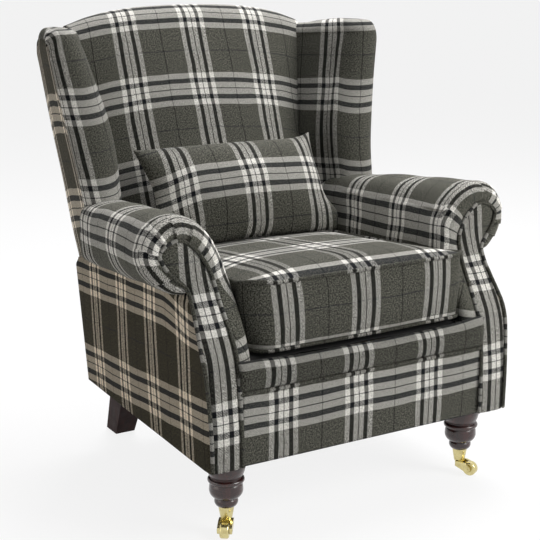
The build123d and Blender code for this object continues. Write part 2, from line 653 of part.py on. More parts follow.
# ---- legs and castors ------------------------------------------------------
def make_front_leg(parts):
    """Turned leg: cup tenon, ring, bulb, torus and top collar, as radius at height."""
    tenon_foot = CUP_BOTTOM + CUP_FLOOR + TENON_GAP
    cup_taper = (CUP_RADIUS - CUP_FOOT_RADIUS) / (CUP_TOP - CUP_BOTTOM)

    def in_cup(z):
        return CUP_RADIUS - CUP_WALL - (CUP_TOP - z) * cup_taper

    profile = (
        Line((0, tenon_foot), (in_cup(tenon_foot), tenon_foot))
        + Line((in_cup(tenon_foot), tenon_foot), (in_cup(CUP_TOP), CUP_TOP))
        + Line((in_cup(CUP_TOP), CUP_TOP), (CUP_RADIUS + 1, CUP_TOP))
        + ThreePointArc((CUP_RADIUS + 1, CUP_TOP), (23.5, 66), (24, 76))
        + Line((24, 76), (22.5, 79))
        + ThreePointArc((22.5, 79), (32.5, 87), (35, 101))
        + ThreePointArc((35, 101), (34.5, 107), (32.5, 112))
        + Line((32.5, 112), (33.5, 114))
        + ThreePointArc((33.5, 114), (38.5, 119), (33.5, 124))
        + Line((33.5, 124), (34, 127))
        + ThreePointArc((34, 127), (38, 136), (41, 150))
        + Line((41, 150), (41, RAIL_BOTTOM))
        + Line((41, RAIL_BOTTOM), (0, RAIL_BOTTOM))
        + Line((0, RAIL_BOTTOM), (0, tenon_foot))
    )
    leg = revolve(make_face(Plane.XZ * profile), axis=Axis.Z)
    leg = Pos(FRONT_LEG_X, FRONT_LEG_Y, 0) * leg
    bolt = rod((FRONT_LEG_X, FRONT_LEG_Y, 120), (FRONT_LEG_X, FRONT_LEG_Y, RAIL_BOTTOM + BLOCK_HEIGHT - 6),
               BOLT_RADIUS)
    parts["front_leg_right"] = leg - bolt
    parts["front_leg_left"] = mirrored(leg - bolt)
    bolts = [bolt, mirrored(bolt)]
    drill(parts, bolts, ["corner_blocks"])
    parts["front_leg_bolts"] = Compound(bolts)


def make_castor(parts, side, x):
    """Cup, screw, swivelling horn, axle pin and wheel at one front leg."""
    place = Pos(x, FRONT_LEG_Y, 0)
    outer = loft([Plane.XY.offset(CUP_BOTTOM) * Circle(CUP_FOOT_RADIUS),
                  Plane.XY.offset(CUP_TOP) * Circle(CUP_RADIUS)])
    floor_z = CUP_BOTTOM + CUP_FLOOR
    taper = (CUP_RADIUS - CUP_FOOT_RADIUS) / (CUP_TOP - CUP_BOTTOM)
    floor_r = CUP_FOOT_RADIUS - CUP_WALL + CUP_FLOOR * taper
    hollow = loft([Plane.XY.offset(floor_z) * Circle(floor_r),
                   Plane.XY.offset(CUP_TOP) * Circle(CUP_RADIUS - CUP_WALL)])
    bore = rod((0, 0, CUP_BOTTOM - 1), (0, 0, floor_z + 1), SPINDLE_RADIUS + RUNNING_GAP)
    cup = outer - hollow - bore
    screw_z = CUP_TOP - 9
    screw = rod((0, -CUP_RADIUS - 1, screw_z), (0, -6, screw_z), 1.4)
    head = rod((0, -CUP_RADIUS - 0.6, screw_z), (0, -CUP_RADIUS + 1.2, screw_z), 2.8)
    screw = screw + head
    cup = cup - screw
    parts["castor_cup_" + side] = place * cup
    drill(parts, [place * screw], ["front_leg_" + side])

    # horn: spindle and rivet head, boss under the cup, cross bar and two arms
    heading = CASTOR_HEADING[side]
    boss_top = CUP_BOTTOM - SEAT_CLEARANCE
    spindle = rod((0, 0, boss_top - 1), (0, 0, floor_z + 0.3), SPINDLE_RADIUS)
    rivet = rod((0, 0, floor_z + 0.3), (0, 0, floor_z + 2.3), SPINDLE_RADIUS + 2)
    boss = loft([Plane.XY.offset(WHEEL_RADIUS + 1) * Circle(BOSS_RADIUS - 2),
                 Plane.XY.offset(boss_top) * Circle(BOSS_RADIUS)])
    arm_in = WHEEL_WIDTH / 2 + SIDE_GAP
    arm_out = arm_in + HORN_ARM
    reach = CASTOR_TRAIL - WHEEL_RADIUS - 1.5
    bar = block(-3, reach, -arm_out, arm_out, WHEEL_RADIUS + 4, boss_top)
    arms = []
    for sign in (-1, 1):
        edges = (
            Line((-3, WHEEL_RADIUS + 4), (CASTOR_TRAIL - 8, WHEEL_RADIUS - 5))
            + ThreePointArc((CASTOR_TRAIL - 8, WHEEL_RADIUS - 5),
                            (CASTOR_TRAIL + HORN_ARM_RADIUS, WHEEL_RADIUS - 1),
                            (CASTOR_TRAIL + 4, WHEEL_RADIUS + 7))
            + ThreePointArc((CASTOR_TRAIL + 4, WHEEL_RADIUS + 7), (CASTOR_TRAIL - 9, boss_top - 1.8),
                            (4, boss_top))
            + Line((4, boss_top), (-3, boss_top))
            + Line((-3, boss_top), (-3, WHEEL_RADIUS + 4))
        )
        low = min(sign * arm_in, sign * arm_out)
        arms.append(front_prism(edges, low, low + HORN_ARM))
    axle = rod((CASTOR_TRAIL, -arm_out - 0.8, WHEEL_RADIUS), (CASTOR_TRAIL, arm_out + 0.8, WHEEL_RADIUS),
               AXLE_RADIUS)
    horn = boss + bar + arms[0] + arms[1] + spindle + rivet - axle
    wheel_profile = (
        Line((AXLE_RADIUS + RUNNING_GAP, -WHEEL_WIDTH / 2), (WHEEL_RADIUS - 4, -WHEEL_WIDTH / 2))
        + ThreePointArc((WHEEL_RADIUS - 4, -WHEEL_WIDTH / 2), (WHEEL_RADIUS - 1.2, -WHEEL_WIDTH / 2 + 1.2),
                        (WHEEL_RADIUS, -WHEEL_WIDTH / 2 + 4))
        + Line((WHEEL_RADIUS, -WHEEL_WIDTH / 2 + 4), (WHEEL_RADIUS, WHEEL_WIDTH / 2 - 4))
        + ThreePointArc((WHEEL_RADIUS, WHEEL_WIDTH / 2 - 4), (WHEEL_RADIUS - 1.2, WHEEL_WIDTH / 2 - 1.2),
                        (WHEEL_RADIUS - 4, WHEEL_WIDTH / 2))
        + Line((WHEEL_RADIUS - 4, WHEEL_WIDTH / 2), (AXLE_RADIUS + RUNNING_GAP, WHEEL_WIDTH / 2))
        + Line((AXLE_RADIUS + RUNNING_GAP, WHEEL_WIDTH / 2), (AXLE_RADIUS + RUNNING_GAP, -WHEEL_WIDTH / 2))
    )
    wheel = revolve(make_face(Plane.XY * wheel_profile), axis=Axis.Y)
    wheel = Pos(CASTOR_TRAIL, 0, WHEEL_RADIUS) * wheel
    turned = place * Rot(0, 0, heading)
    parts["castor_horn_" + side] = turned * horn
    parts["castor_axle_" + side] = turned * axle
    parts["castor_wheel_" + side] = turned * wheel
    return place * screw


def make_rear_leg(parts):
    """Square leg that tapers and rakes back, with two screws and a glide."""
    def section(centre, size, z):
        x, y = centre
        w, d = size
        return plan_face([(x - w / 2, y - d / 2), (x + w / 2, y - d / 2),
                          (x + w / 2, y + d / 2), (x - w / 2, y + d / 2)], z)

    leg = loft([section(REAR_LEG_FOOT, REAR_FOOT_SIZE, GLIDE_HEIGHT),
                section(REAR_LEG_HEAD, REAR_HEAD_SIZE, RAIL_BOTTOM)], ruled=True)
    screws = []
    for dx in (-14, 6):
        x, y = REAR_LEG_HEAD[0] + dx, REAR_LEG_HEAD[1] - 20
        screws.append(rod((x, y, RAIL_BOTTOM - 40), (x, y, RAIL_BOTTOM + BLOCK_HEIGHT - 8), 2.5))
    glide = rod((*REAR_LEG_FOOT, 0), (*REAR_LEG_FOOT, GLIDE_HEIGHT), 16)
    left = leg
    for screw in screws:
        left = left - screw
    parts["rear_leg_left"] = left
    parts["rear_leg_right"] = mirrored(left)
    both = screws + [mirrored(s) for s in screws]
    drill(parts, both, ["corner_blocks"])
    parts["rear_leg_screws"] = Compound(both)
    parts["rear_leg_glides"] = Compound([glide, mirrored(glide)])


def make_dust_cover(parts):
    """Thin cloth tacked under the rails, cut round the legs."""
    y0, y1 = BODY_FRONT + BORDER + 6, BODY_REAR - PANEL - 2
    cover = plan_prism(
        [(-body_half(y0) + PANEL + 2, y0), (body_half(y0) - PANEL - 2, y0),
         (body_half(y1) - PANEL - 2, y1), (-body_half(y1) + PANEL + 2, y1)],
        RAIL_BOTTOM - 1.5, RAIL_BOTTOM)
    cut = [parts[n] for n in (
        "front_leg_right", "front_leg_left", "rear_leg_right", "rear_leg_left",
        "arm_facing_right", "arm_facing_left")]
    cut += [s for n in ("front_leg_bolts", "rear_leg_screws", "facing_welts") for s in parts[n].solids()]
    parts["dust_cover"] = trimmed(cover, *cut)


def main():
    parts = {}
    make_frame(parts)
    make_fasteners(parts)
    make_seat(parts)
    make_arms(parts)
    make_back(parts)
    make_cushions(parts)
    make_front_leg(parts)
    screws = [make_castor(parts, "right", FRONT_LEG_X), make_castor(parts, "left", -FRONT_LEG_X)]
    parts["castor_screws"] = Compound(screws)
    make_rear_leg(parts)
    make_dust_cover(parts)
    os.makedirs("parts", exist_ok=True)
    for name, shape in parts.items():
        export_step(Pos(0, -DATUM_Y, 0) * shape, os.path.join("parts", name + ".step"))
    print(len(parts), "nodes")


main()
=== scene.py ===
"""Looks of the fireside wing chair, built around its CAD frame.

Metres, +Z up, the chair faces -Y. Shapes are laid out from the same datum as the CAD
source, DATUM_Y in front of the middle of the chair, and moved as their meshes are made.
"right" is +X, which is on the right in the photograph.
"""

import bpy
import math
import numpy as np
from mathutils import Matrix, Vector


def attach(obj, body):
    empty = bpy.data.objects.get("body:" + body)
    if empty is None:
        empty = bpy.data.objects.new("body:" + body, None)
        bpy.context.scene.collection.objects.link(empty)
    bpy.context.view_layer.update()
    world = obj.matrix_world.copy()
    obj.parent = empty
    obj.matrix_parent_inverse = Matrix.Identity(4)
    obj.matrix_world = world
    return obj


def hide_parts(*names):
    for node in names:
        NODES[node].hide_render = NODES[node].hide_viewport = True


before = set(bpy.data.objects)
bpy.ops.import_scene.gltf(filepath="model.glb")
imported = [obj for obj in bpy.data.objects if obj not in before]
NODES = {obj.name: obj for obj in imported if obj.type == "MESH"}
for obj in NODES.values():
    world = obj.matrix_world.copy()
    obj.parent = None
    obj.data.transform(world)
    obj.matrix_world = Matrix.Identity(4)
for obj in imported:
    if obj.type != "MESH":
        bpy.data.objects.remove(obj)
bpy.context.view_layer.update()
DATUM_Y = 0.0084

# ---- sizes shared by the pieces
BODY_BOTTOM = 0.165
BODY_REAR = 0.253
OVERALL_HEIGHT = 1.040
RAKE = math.tan(math.radians(11.6))
WARP_REPEAT = 0.184
WEFT_REPEAT = 0.205
# how the check lies on each piece: turn in degrees, stretch of u and of v, shift of u and of v
CHECK = {
    "arm_right": (0, 1.078, 0.85, -0.0184, -0.0839),
    "arm_left": (0, 0.93, 0.90, -0.023, -0.0909),
    "facing_right": (0, 1, 1, -0.003, 0.090),
    "facing_left": (0, 1, 0.924, 0.005, 0.113),
    "panel_right": (-5.0, 1.165, 0.95, -0.103, -0.046),
    "panel_left": (-5.0, 1.165, 0.95, -0.103, -0.046),
    "border": (0, 1, 1, 0.022, 0.05),
    "lip": (0, 0.98, 1, 0.028, 0.109),
    "back": (0, 1.03, 1.055, 0.0085, 0.0845),
    "wing_right": (2.5, 1, 1, 0.055, 0.007),
    "wing_left": (0, 1, 1, -0.013, -0.009),
    "wing_side_right": (0, 1, 1, 0.0, 0.009),
    "wing_side_left": (0, 1, 1, 0.0, 0.009),
    "outside_back": (0, 1, 1, 0.0, 0.0),
    "seat_top": (0, 0.96, 1, -0.011, 0.0050),
    "seat_box": (0, 0.96, 1, -0.011, 0.0305),
    "pillow": (0, 1.03, 1, -0.0195, -0.010),
}


# ---- small maths
def spline(points, t):
    """Catmull-Rom curve through points, read at parameters t from 0 to len(points) - 1."""
    p = np.asarray(points, float)
    p = np.vstack([2 * p[0] - p[1], p, 2 * p[-1] - p[-2]])
    t = np.clip(np.asarray(t, float), 0, len(p) - 3 - 1e-9)
    i = t.astype(int)
    f = (t - i)[:, None]
    a, b, c, d = p[i], p[i + 1], p[i + 2], p[i + 3]
    return 0.5 * (2 * b + (c - a) * f + (2 * a - 5 * b + 4 * c - d) * f**2 + (3 * b - a - 3 * c + d) * f**3)


def curve1(xs, ys, x):
    """Smooth y at x through a table of xs that rise."""
    xs, ys = np.asarray(xs, float), np.asarray(ys, float)
    m = np.gradient(ys, xs)
    x = np.clip(np.asarray(x, float), xs[0], xs[-1])
    i = np.clip(np.searchsorted(xs, x, side="right") - 1, 0, len(xs) - 2)
    h = xs[i + 1] - xs[i]
    t = (x - xs[i]) / h
    return ((2 * t**3 - 3 * t**2 + 1) * ys[i] + (t**3 - 2 * t**2 + t) * h * m[i]
            + (-2 * t**3 + 3 * t**2) * ys[i + 1] + (t**3 - t**2) * h * m[i + 1])


def smooth(a, b, x):
    """0 up to a, 1 from b on, with a soft step between them."""
    t = np.clip((np.asarray(x, float) - a) / (b - a), 0, 1)
    return t * t * (3 - 2 * t)


def arc_length(p):
    """Running length along a line of points."""
    return np.concatenate([[0], np.cumsum(np.linalg.norm(np.diff(p, axis=0), axis=1))])


def joined(*parts):
    """Points whose coordinates are arrays that broadcast together."""
    return np.stack(np.broadcast_arrays(*parts), -1)


def down(P):
    """Running length down each column of a grid of points."""
    return np.array([arc_length(P[:, j]) for j in range(P.shape[1])]).T


def across(P):
    """Running length along each row of a grid of points."""
    return np.array([arc_length(row) for row in P])


def resample(p, n):
    """n points evenly spaced along a line of points."""
    s = arc_length(p)
    t = np.linspace(0, s[-1], n)
    return np.stack([np.interp(t, s, p[:, k]) for k in range(p.shape[1])], 1)


def rear_y(z):
    """Rear face of the body at height z."""
    return BODY_REAR + (z - BODY_BOTTOM) * RAKE


# ---- meshes
def new_mesh(name, verts, faces, uvs, material, body="chair"):
    """Mesh object with one UV pair for each face corner."""
    verts = np.asarray(verts, float).copy()
    verts[:, 1] -= DATUM_Y
    mesh = bpy.data.meshes.new(name)
    mesh.from_pydata(verts.tolist(), [], faces)
    layer = mesh.uv_layers.new(name="cloth")
    layer.data.foreach_set("uv", np.asarray(uvs, np.float32).ravel())
    mesh.polygons.foreach_set("use_smooth", [True] * len(mesh.polygons))
    mesh.materials.append(material)
    mesh.validate()
    mesh.update()
    obj = bpy.data.objects.new(name, mesh)
    bpy.context.scene.collection.objects.link(obj)
    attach(obj, body)
    return obj


def grid(name, P, UV, material, body="chair", wrap=False, flip=False):
    """Grid of points P[row, column]. wrap joins the last column to the first. UV holds a pair for
    each point or, with one more axis, for each cell's own four corners."""
    rows, cols = P.shape[:2]
    index = np.arange(rows * cols).reshape(rows, cols)
    faces, uvs = [], []
    for i in range(rows - 1):
        for j in range(cols if wrap else cols - 1):
            k = (j + 1) % cols
            quad = [index[i, j], index[i, k], index[i + 1, k], index[i + 1, j]]
            corner = UV[i, j] if UV.ndim == 4 else [UV[i, j], UV[i, j + 1], UV[i + 1, j + 1], UV[i + 1, j]]
            if flip:
                quad, corner = quad[::-1], corner[::-1]
            faces.append([int(q) for q in quad])
            uvs += [tuple(c) for c in corner]
    return new_mesh(name, P.reshape(-1, 3), faces, uvs, material, body)


def laid(UV, piece):
    """UV moved to how the check lies on a piece."""
    turn, stretch_u, stretch_v, shift_u, shift_v = CHECK[piece]
    c, s = math.cos(math.radians(turn)), math.sin(math.radians(turn))
    u, v = UV[..., 0], UV[..., 1]
    return joined(stretch_u * (c * u - s * v) + shift_u, stretch_v * (s * u + c * v) + shift_v)


def mirror_x(P):
    """Points of the other side."""
    Q = P.copy()
    Q[..., 0] *= -1
    return Q


TUBE_END = 0.35             # share of its radius that an open bead ends with
TUBE_START = (0.13, 0.31, 0.94)     # a direction that no bead runs along where it starts


def tube(name, path, radius, material, body="chair", closed=False, sides=10, uv=(0.04, 0.0), wrinkle=0.0,
         beside=None):
    """Covered piping: a round bead along a path. Its cloth runs along it, or, beside a panel,
    takes that panel's stripes across it."""
    path = np.asarray(path, float)
    n = len(path)
    if closed:
        tangent = np.roll(path, -1, 0) - np.roll(path, 1, 0)
    else:
        tangent = np.gradient(path, axis=0)
    tangent /= np.linalg.norm(tangent, axis=1)[:, None]
    side = np.cross(tangent[0], TUBE_START)
    normals = []
    for t in tangent:
        side = side - t * np.dot(side, t)
        side = side / np.linalg.norm(side)
        normals.append(side)
    normals = np.array(normals)
    binormals = np.cross(tangent, normals)
    s = arc_length(path)
    run = np.where(np.arange(n) * 2 >= n, s - s[-1], s) if closed and beside else s
    a = np.linspace(0, 2 * math.pi, sides, endpoint=False)
    r = np.full(n, radius)
    if not closed:
        r[0] = r[-1] = radius * TUBE_END
    r = r * (1 + wrinkle * np.sin(s * 310) * np.sin(s * 97 + 1))
    P = (path[:, None] + r[:, None, None] * (np.cos(a)[None, :, None] * normals[:, None]
                                             + np.sin(a)[None, :, None] * binormals[:, None]))
    around = np.linspace(0, 2 * math.pi * radius, sides + 1)
    if beside:
        UV = laid(joined(uv[0] + run[:, None], uv[1] + around[None, :]), beside)
    else:
        UV = joined(uv[0] + around[None, :], uv[1] + s[:, None])
    if closed:
        P = np.concatenate([P, P[:1]])
        UV = np.concatenate([UV, UV[-1:] + ([s[1], 0] if beside else [0, s[1]])])
    return grid(name, P, UV, material, body, wrap=True)


def thicken(obj, depth):
    """Gives a panel its padding's thickness behind the cover."""
    mod = obj.modifiers.new("padding", "SOLIDIFY")
    mod.thickness = depth
    mod.offset = -1


def cover(name, P, UV, material, nodes, depth=0.006, mirror=False, flip=False):
    """Padded cover in place of CAD nodes. mirror makes it the left one of a pair."""
    obj = grid(name, mirror_x(P) if mirror else P, UV, material, flip=flip != mirror)
    thicken(obj, depth)
    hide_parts(*nodes)


# ---- node helpers
class Nodes:
    """Short calls that build a node tree."""

    def __init__(self, tree):
        self.tree = tree
        tree.nodes.clear()

    def new(self, kind):
        return self.tree.nodes.new("ShaderNode" + kind)

    def link(self, a, b):
        self.tree.links.new(a, b)

    def put(self, socket, value):
        if isinstance(value, bpy.types.NodeSocket):
            self.link(value, socket)
        elif isinstance(value, (tuple, list)) and len(value) == 3 and socket.type == "RGBA":
            socket.default_value = (*value, 1)
        else:
            socket.default_value = value

    def math(self, op, a, b=None, c=None, clamp=False):
        n = self.new("Math")
        n.operation, n.use_clamp = op, clamp
        for i, v in enumerate((a, b, c)):
            if v is not None:
                self.put(n.inputs[i], v)
        return n.outputs[0]

    def plus(self, a, b):
        return self.math("ADD", a, b)

    def minus(self, a, b):
        return self.math("SUBTRACT", a, b)

    def times(self, a, b):
        return self.math("MULTIPLY", a, b)

    def mix(self, factor, a, b, blend="MIX", kind="RGBA"):
        n = self.new("Mix")
        n.data_type = kind
        if kind == "RGBA":
            n.blend_type = blend
            sockets = n.inputs[0], n.inputs[6], n.inputs[7], n.outputs[2]
        else:
            sockets = n.inputs[0], n.inputs[2], n.inputs[3], n.outputs[0]
        for s, v in zip(sockets, (factor, a, b)):
            self.put(s, v)
        return sockets[3]

    def noise(self, vector, scale, detail=2.0, rough=0.5, out=0, dims="3D"):
        n = self.new("TexNoise")
        n.noise_dimensions = dims
        for key, v in (("Vector", vector), ("Scale", scale), ("Detail", detail), ("Roughness", rough)):
            self.put(n.inputs[key], v)
        return n.outputs[out]

    def ramp(self, value, stops, constant=False):
        n = self.new("ValToRGB")
        n.color_ramp.interpolation = "CONSTANT" if constant else "LINEAR"
        while len(n.color_ramp.elements) < len(stops):
            n.color_ramp.elements.new(0.5)
        for e, (pos, colour) in zip(n.color_ramp.elements, stops):
            e.position = pos
            e.color = (*colour, 1) if len(colour) == 3 else colour
        self.put(n.inputs[0], value)
        return n.outputs[0]

    def remap(self, value, a, b, c, d):
        n = self.new("MapRange")
        for i, v in enumerate((value, a, b, c, d)):
            self.put(n.inputs[i], v)
        return n.outputs[0]

    def xyz(self, vector):
        n = self.new("SeparateXYZ")
        self.put(n.inputs[0], vector)
        return n.outputs

    def combine(self, x, y, z):
        n = self.new("CombineXYZ")
        for i, v in enumerate((x, y, z)):
            self.put(n.inputs[i], v)
        return n.outputs[0]

    def uv(self):
        n = self.new("UVMap")
        n.uv_map = "cloth"
        return n.outputs[0]

    def place(self):
        """Object coordinates, which are metres in the row frame."""
        return self.new("TexCoord").outputs["Object"]

    def seen(self):
        """1 for what the camera sees, directly, in gloss or through glass."""
        rays = self.new("LightPath").outputs
        shown = self.math("MAXIMUM", rays["Is Camera Ray"], rays["Is Glossy Ray"])
        return self.math("MAXIMUM", shown, rays["Is Transmission Ray"])

    def blend(self, share, a, b, out):
        """The output node shows shader a, and b by its share."""
        n = self.new("MixShader")
        for value, socket in zip((share, a.outputs[0], b.outputs[0]), n.inputs):
            self.link(value, socket)
        self.link(n.outputs[0], out.inputs[0])


class Surface(Nodes):
    """Material with one principled shader."""

    def __init__(self, name):
        self.material = bpy.data.materials.new(name)
        self.material.use_nodes = True
        super().__init__(self.material.node_tree)
        self.out = self.new("OutputMaterial")
        self.shader = self.new("BsdfPrincipled")
        self.link(self.shader.outputs[0], self.out.inputs[0])

    def bump(self, height, strength, distance):
        n = self.new("Bump")
        for key, v in (("Height", height), ("Strength", strength), ("Distance", distance)):
            self.put(n.inputs[key], v)
        self.link(n.outputs[0], self.shader.inputs["Normal"])

    def set(self, **values):
        for key, v in values.items():
            self.put(self.shader.inputs[key.replace("_", " ")], v)
        return self.material


def srgb(r, g, b):
    """Linear colour of 8 bit screen values."""
    return tuple(((c / 255 + 0.055) / 1.055) ** 2.4 if c > 10 else c / 255 / 12.92 for c in (r, g, b))


# yarns, and the brown tint that the ground and the pale yarn take where the painted warm shade is full:
# weak, warm light painted onto the outside panels
GROUND, WARM_SHADE_GROUND = srgb(72, 72, 66), srgb(46, 41, 28)
PALE, WARM_SHADE_PALE = srgb(213, 211, 204), srgb(240, 224, 198)
INK = srgb(13, 13, 13)
SLATE, SLATE_OVER = srgb(30, 32, 36), srgb(43, 46, 52)      # alone, and over the ground
SHEEN_GREY = srgb(150, 148, 140)   # painted sheen: the pale grey that the cloth is mixed towards where it is seen at a glancing angle
# stripes outwards from the middle of a group: width in metres, kind of yarn
WARP_HALF = [(0.0012, "dark"), (0.0115, "pale"), (0.0100, "dark"), (0.0120, "pale")]
WEFT_HALF = [(0.0014, "dark"), (0.0140, "pale"), (0.0120, "dark"), (0.0145, "pale")]
LINE_HALF = 0.0011          # the single dark line half way between groups


def sett_stops(half, repeat, ground, pale, dark):
    """Colour stops of one repeat, with the group in its middle and the fine line at its end."""
    colour = {"pale": pale, "dark": dark}
    edges, x = [], 0.0
    for width, kind in half:
        edges.append((x, x + width, colour[kind]))
        x += width
    stops = [(0.0, dark), (LINE_HALF / repeat, ground)]
    for a, b, c in reversed(edges):
        stops.append((0.5 - b / repeat, c))
    for a, b, c in edges[1:]:
        stops.append((0.5 + a / repeat, c))
    stops.append((0.5 + x / repeat, ground))
    stops.append((1 - LINE_HALF / repeat, dark))
    return stops


YARN = 0.0013
TWILL = 4                   # yarns in one repeat of the twill
DRIFT = 0.006               # how far the weave wanders over a hand's width
JITTER_U, JITTER_V = 0.0014, 0.0008     # and by less than a yarn or two
LONE_PALE = 0.22            # how much of a pale stripe sinks into the ground it crosses
LONE_DARK = 0.50            # how far a dark stripe covers the ground it crosses
LONE_SLATE = 0.22           # the same for a slate one
LEVEL_SINK = 0.38           # how much more of a pale warp stripe sinks where the cloth lies level


def make_tartan(name, warm_shade=0.0, painted_light=1.0, sink=LEVEL_SINK):
    """Woven check: two crossing sets of stripes in a two-and-two twill of heathered wool. Its warm tint and
    its gain paint light and shade into the copies made for some pieces.
    """
    n = Surface(name)
    uv = n.uv()
    place = n.place()
    drift = n.xyz(n.noise(uv, 9.0, 2.0, out=1, dims="2D"))
    jitter = n.xyz(n.noise(uv, 700.0, 1.0, out=1, dims="2D"))
    straight = n.xyz(uv)
    u, v = (n.math("MULTIPLY_ADD", n.minus(jitter[k], 0.5), far,
                   n.math("MULTIPLY_ADD", n.minus(drift[k], 0.5), DRIFT, straight[k]))
            for k, far in enumerate((JITTER_U, JITTER_V)))
    # painted warm shade: on the outside panels the ground is tinted brown
    ground = n.mix(warm_shade, GROUND, WARM_SHADE_GROUND)
    share_u = n.math("FRACT", n.math("MULTIPLY_ADD", u, 1 / WARP_REPEAT, 0.5))
    share_v = n.math("FRACT", n.math("MULTIPLY_ADD", v, 1 / WEFT_REPEAT, 0.5))
    black, mid, white = (0, 0, 0), (0.5, 0.5, 0.5), (1, 1, 1)
    warp_kind = n.ramp(share_u, sett_stops(WARP_HALF, WARP_REPEAT, mid, white, black), True)
    weft_kind = n.ramp(share_v, sett_stops(WEFT_HALF, WEFT_REPEAT, mid, white, black), True)

    # heather: flecks of lighter and browner fibre in the ground yarn
    fleck = n.noise(uv, 470.0, 2.0, 0.8, dims="2D")
    fleck2 = n.noise(uv, 300.0, 3.0, 0.85, dims="2D")
    heather = n.plus(n.times(fleck, 0.5), n.times(fleck2, 0.5))
    grey = n.ramp(heather, [(0.41, (0.22,) * 3), (0.5, (0.86,) * 3), (0.58, (2.5, 2.47, 2.4))])
    ground = n.mix(1.0, ground, grey, "MULTIPLY")

    def yarn(kind, dark, low, high):
        """Colour of one set of yarns, and whether the yarn is pale or dark."""
        uneven = n.ramp(heather, [(0.42, (low,) * 3), (0.54, (high,) * 3)])
        # the pale yarn takes the same painted warm tint
        pale = n.mix(1.0, n.mix(warm_shade, PALE, WARM_SHADE_PALE), uneven, "MULTIPLY")
        is_pale = n.math("GREATER_THAN", kind, 0.75)
        is_dark = n.math("LESS_THAN", kind, 0.25)
        return n.mix(is_dark, n.mix(is_pale, ground, pale), dark), is_pale, is_dark

    warp, pale_warp, dark_warp = yarn(warp_kind, INK, 0.32, 1.22)
    weft, pale_weft, dark_weft = yarn(weft_kind, SLATE, 0.88, 1.04)
    # twill: which yarn is on top
    cu = n.times(u, 1 / YARN)
    cv = n.times(v, 1 / YARN)
    diagonal = n.times(n.plus(n.math("FLOOR", cu), n.math("FLOOR", cv)), 1 / TWILL)
    over = n.math("GREATER_THAN", n.math("FRACT", diagonal), 0.49)
    grain = n.noise(n.combine(u, n.times(v, 0.55), 0.0), 340.0, 3.0, 0.75, dims="2D")
    speck = n.remap(grain, 0.36, 0.64, 0.0, 1.0)
    face = n.plus(n.times(over, 0.42), n.times(speck, 0.46))
    face = n.math("ADD", face, 0.06, clamp=True)
    # a pale weft crossing the ground lies smoother than a pale warp
    face = n.mix(n.times(pale_weft, 0.55), face, 0.5, kind="FLOAT")
    cloth = n.mix(face, weft, warp)
    lone = n.math("ABSOLUTE", n.minus(pale_warp, pale_weft))
    # seen along their length on level cloth, the pale warp stripes sink further into the ground
    upward = n.xyz(n.new("NewGeometry").outputs["Normal"])[2]
    level = n.remap(upward, 0.70, 0.97, 0.0, sink)
    sunk = n.times(level, n.times(pale_warp, n.minus(1.0, pale_weft)))
    cloth = n.mix(n.math("MULTIPLY_ADD", lone, LONE_PALE, sunk), cloth, ground)
    cloth = n.mix(n.times(n.minus(1.0, dark_weft), n.times(dark_warp, LONE_DARK)), cloth, INK)
    cloth = n.mix(n.times(n.minus(1.0, dark_warp), n.times(dark_weft, LONE_SLATE)), cloth, SLATE_OVER)
    # uneven dye, times each copy's painted light level, and a painted sheen of pale grey where the cloth is
    # seen at a glancing angle
    patch = n.noise(place, 5.0, 3.0, 0.6)
    # random dye patches, scaled by the copy's gain, which is painted light or shade
    dye_and_painted_light = n.ramp(patch, [(0.3, (0.93 * painted_light,) * 3), (0.7, (1.07 * painted_light,) * 3)])
    cloth = n.mix(1.0, cloth, dye_and_painted_light, "MULTIPLY")
    # painted sheen: paler grey towards the edges that turn away from the camera
    facing = n.new("LayerWeight")
    facing.inputs[0].default_value = 0.35
    rim = n.times(n.math("POWER", facing.outputs[1], 2.0), 0.03)
    cloth = n.mix(rim, cloth, SHEEN_GREY)
    # height of the yarns
    hu = n.math("ABSOLUTE", n.math("SINE", n.times(cu, math.pi)))
    hv = n.math("ABSOLUTE", n.math("SINE", n.times(cv, math.pi)))
    height = n.mix(over, hv, hu, kind="FLOAT")
    height = n.plus(height, n.times(grain, 0.9))
    nap = n.noise(place, 60.0, 3.0, 0.6)
    height = n.plus(height, n.times(nap, 1.2))
    n.bump(height, 0.45, 0.0007)
    rough = n.remap(grain, 0.3, 0.7, 0.82, 0.96)
    return n.set(Base_Color=cloth, Roughness=rough, Sheen_Weight=0.02, Sheen_Roughness=0.5,
                 Specular_IOR_Level=0.05)


TARTAN = make_tartan("tartan_cloth")
# painted light: the arm covers' cloth is a lighter copy of the tartan
TARTAN_ARM_PAINTED_LIGHT = make_tartan("tartan_cloth_arm_painted_light", painted_light=1.17, sink=0.0)
# painted warm light and shade: the outside panels' cloth is browner, with its brightness set for the weak
# light on them
TARTAN_SIDE_PAINTED_LIGHT = make_tartan("tartan_cloth_side_painted_light", warm_shade=0.8, painted_light=1.05)
TARTAN_WING_PAINTED_LIGHT = make_tartan("tartan_cloth_wing_painted_light", warm_shade=0.6, painted_light=1.12)
# painted shadow: the lip roll's cloth is darker for the shade under the seat cushion's front
TARTAN_LIP_PAINTED_SHADE = make_tartan("tartan_cloth_lip_painted_shade", painted_light=0.75)
# painted shade: the piping's cloth is a darker copy of the tartan it is cut from
PIPING_PAINTED_SHADE = make_tartan("tartan_piping_painted_shade", painted_light=0.85)


# ---- arms
ARM_REAR_Y = 0.135
ARM_NOSE_Y = -0.27
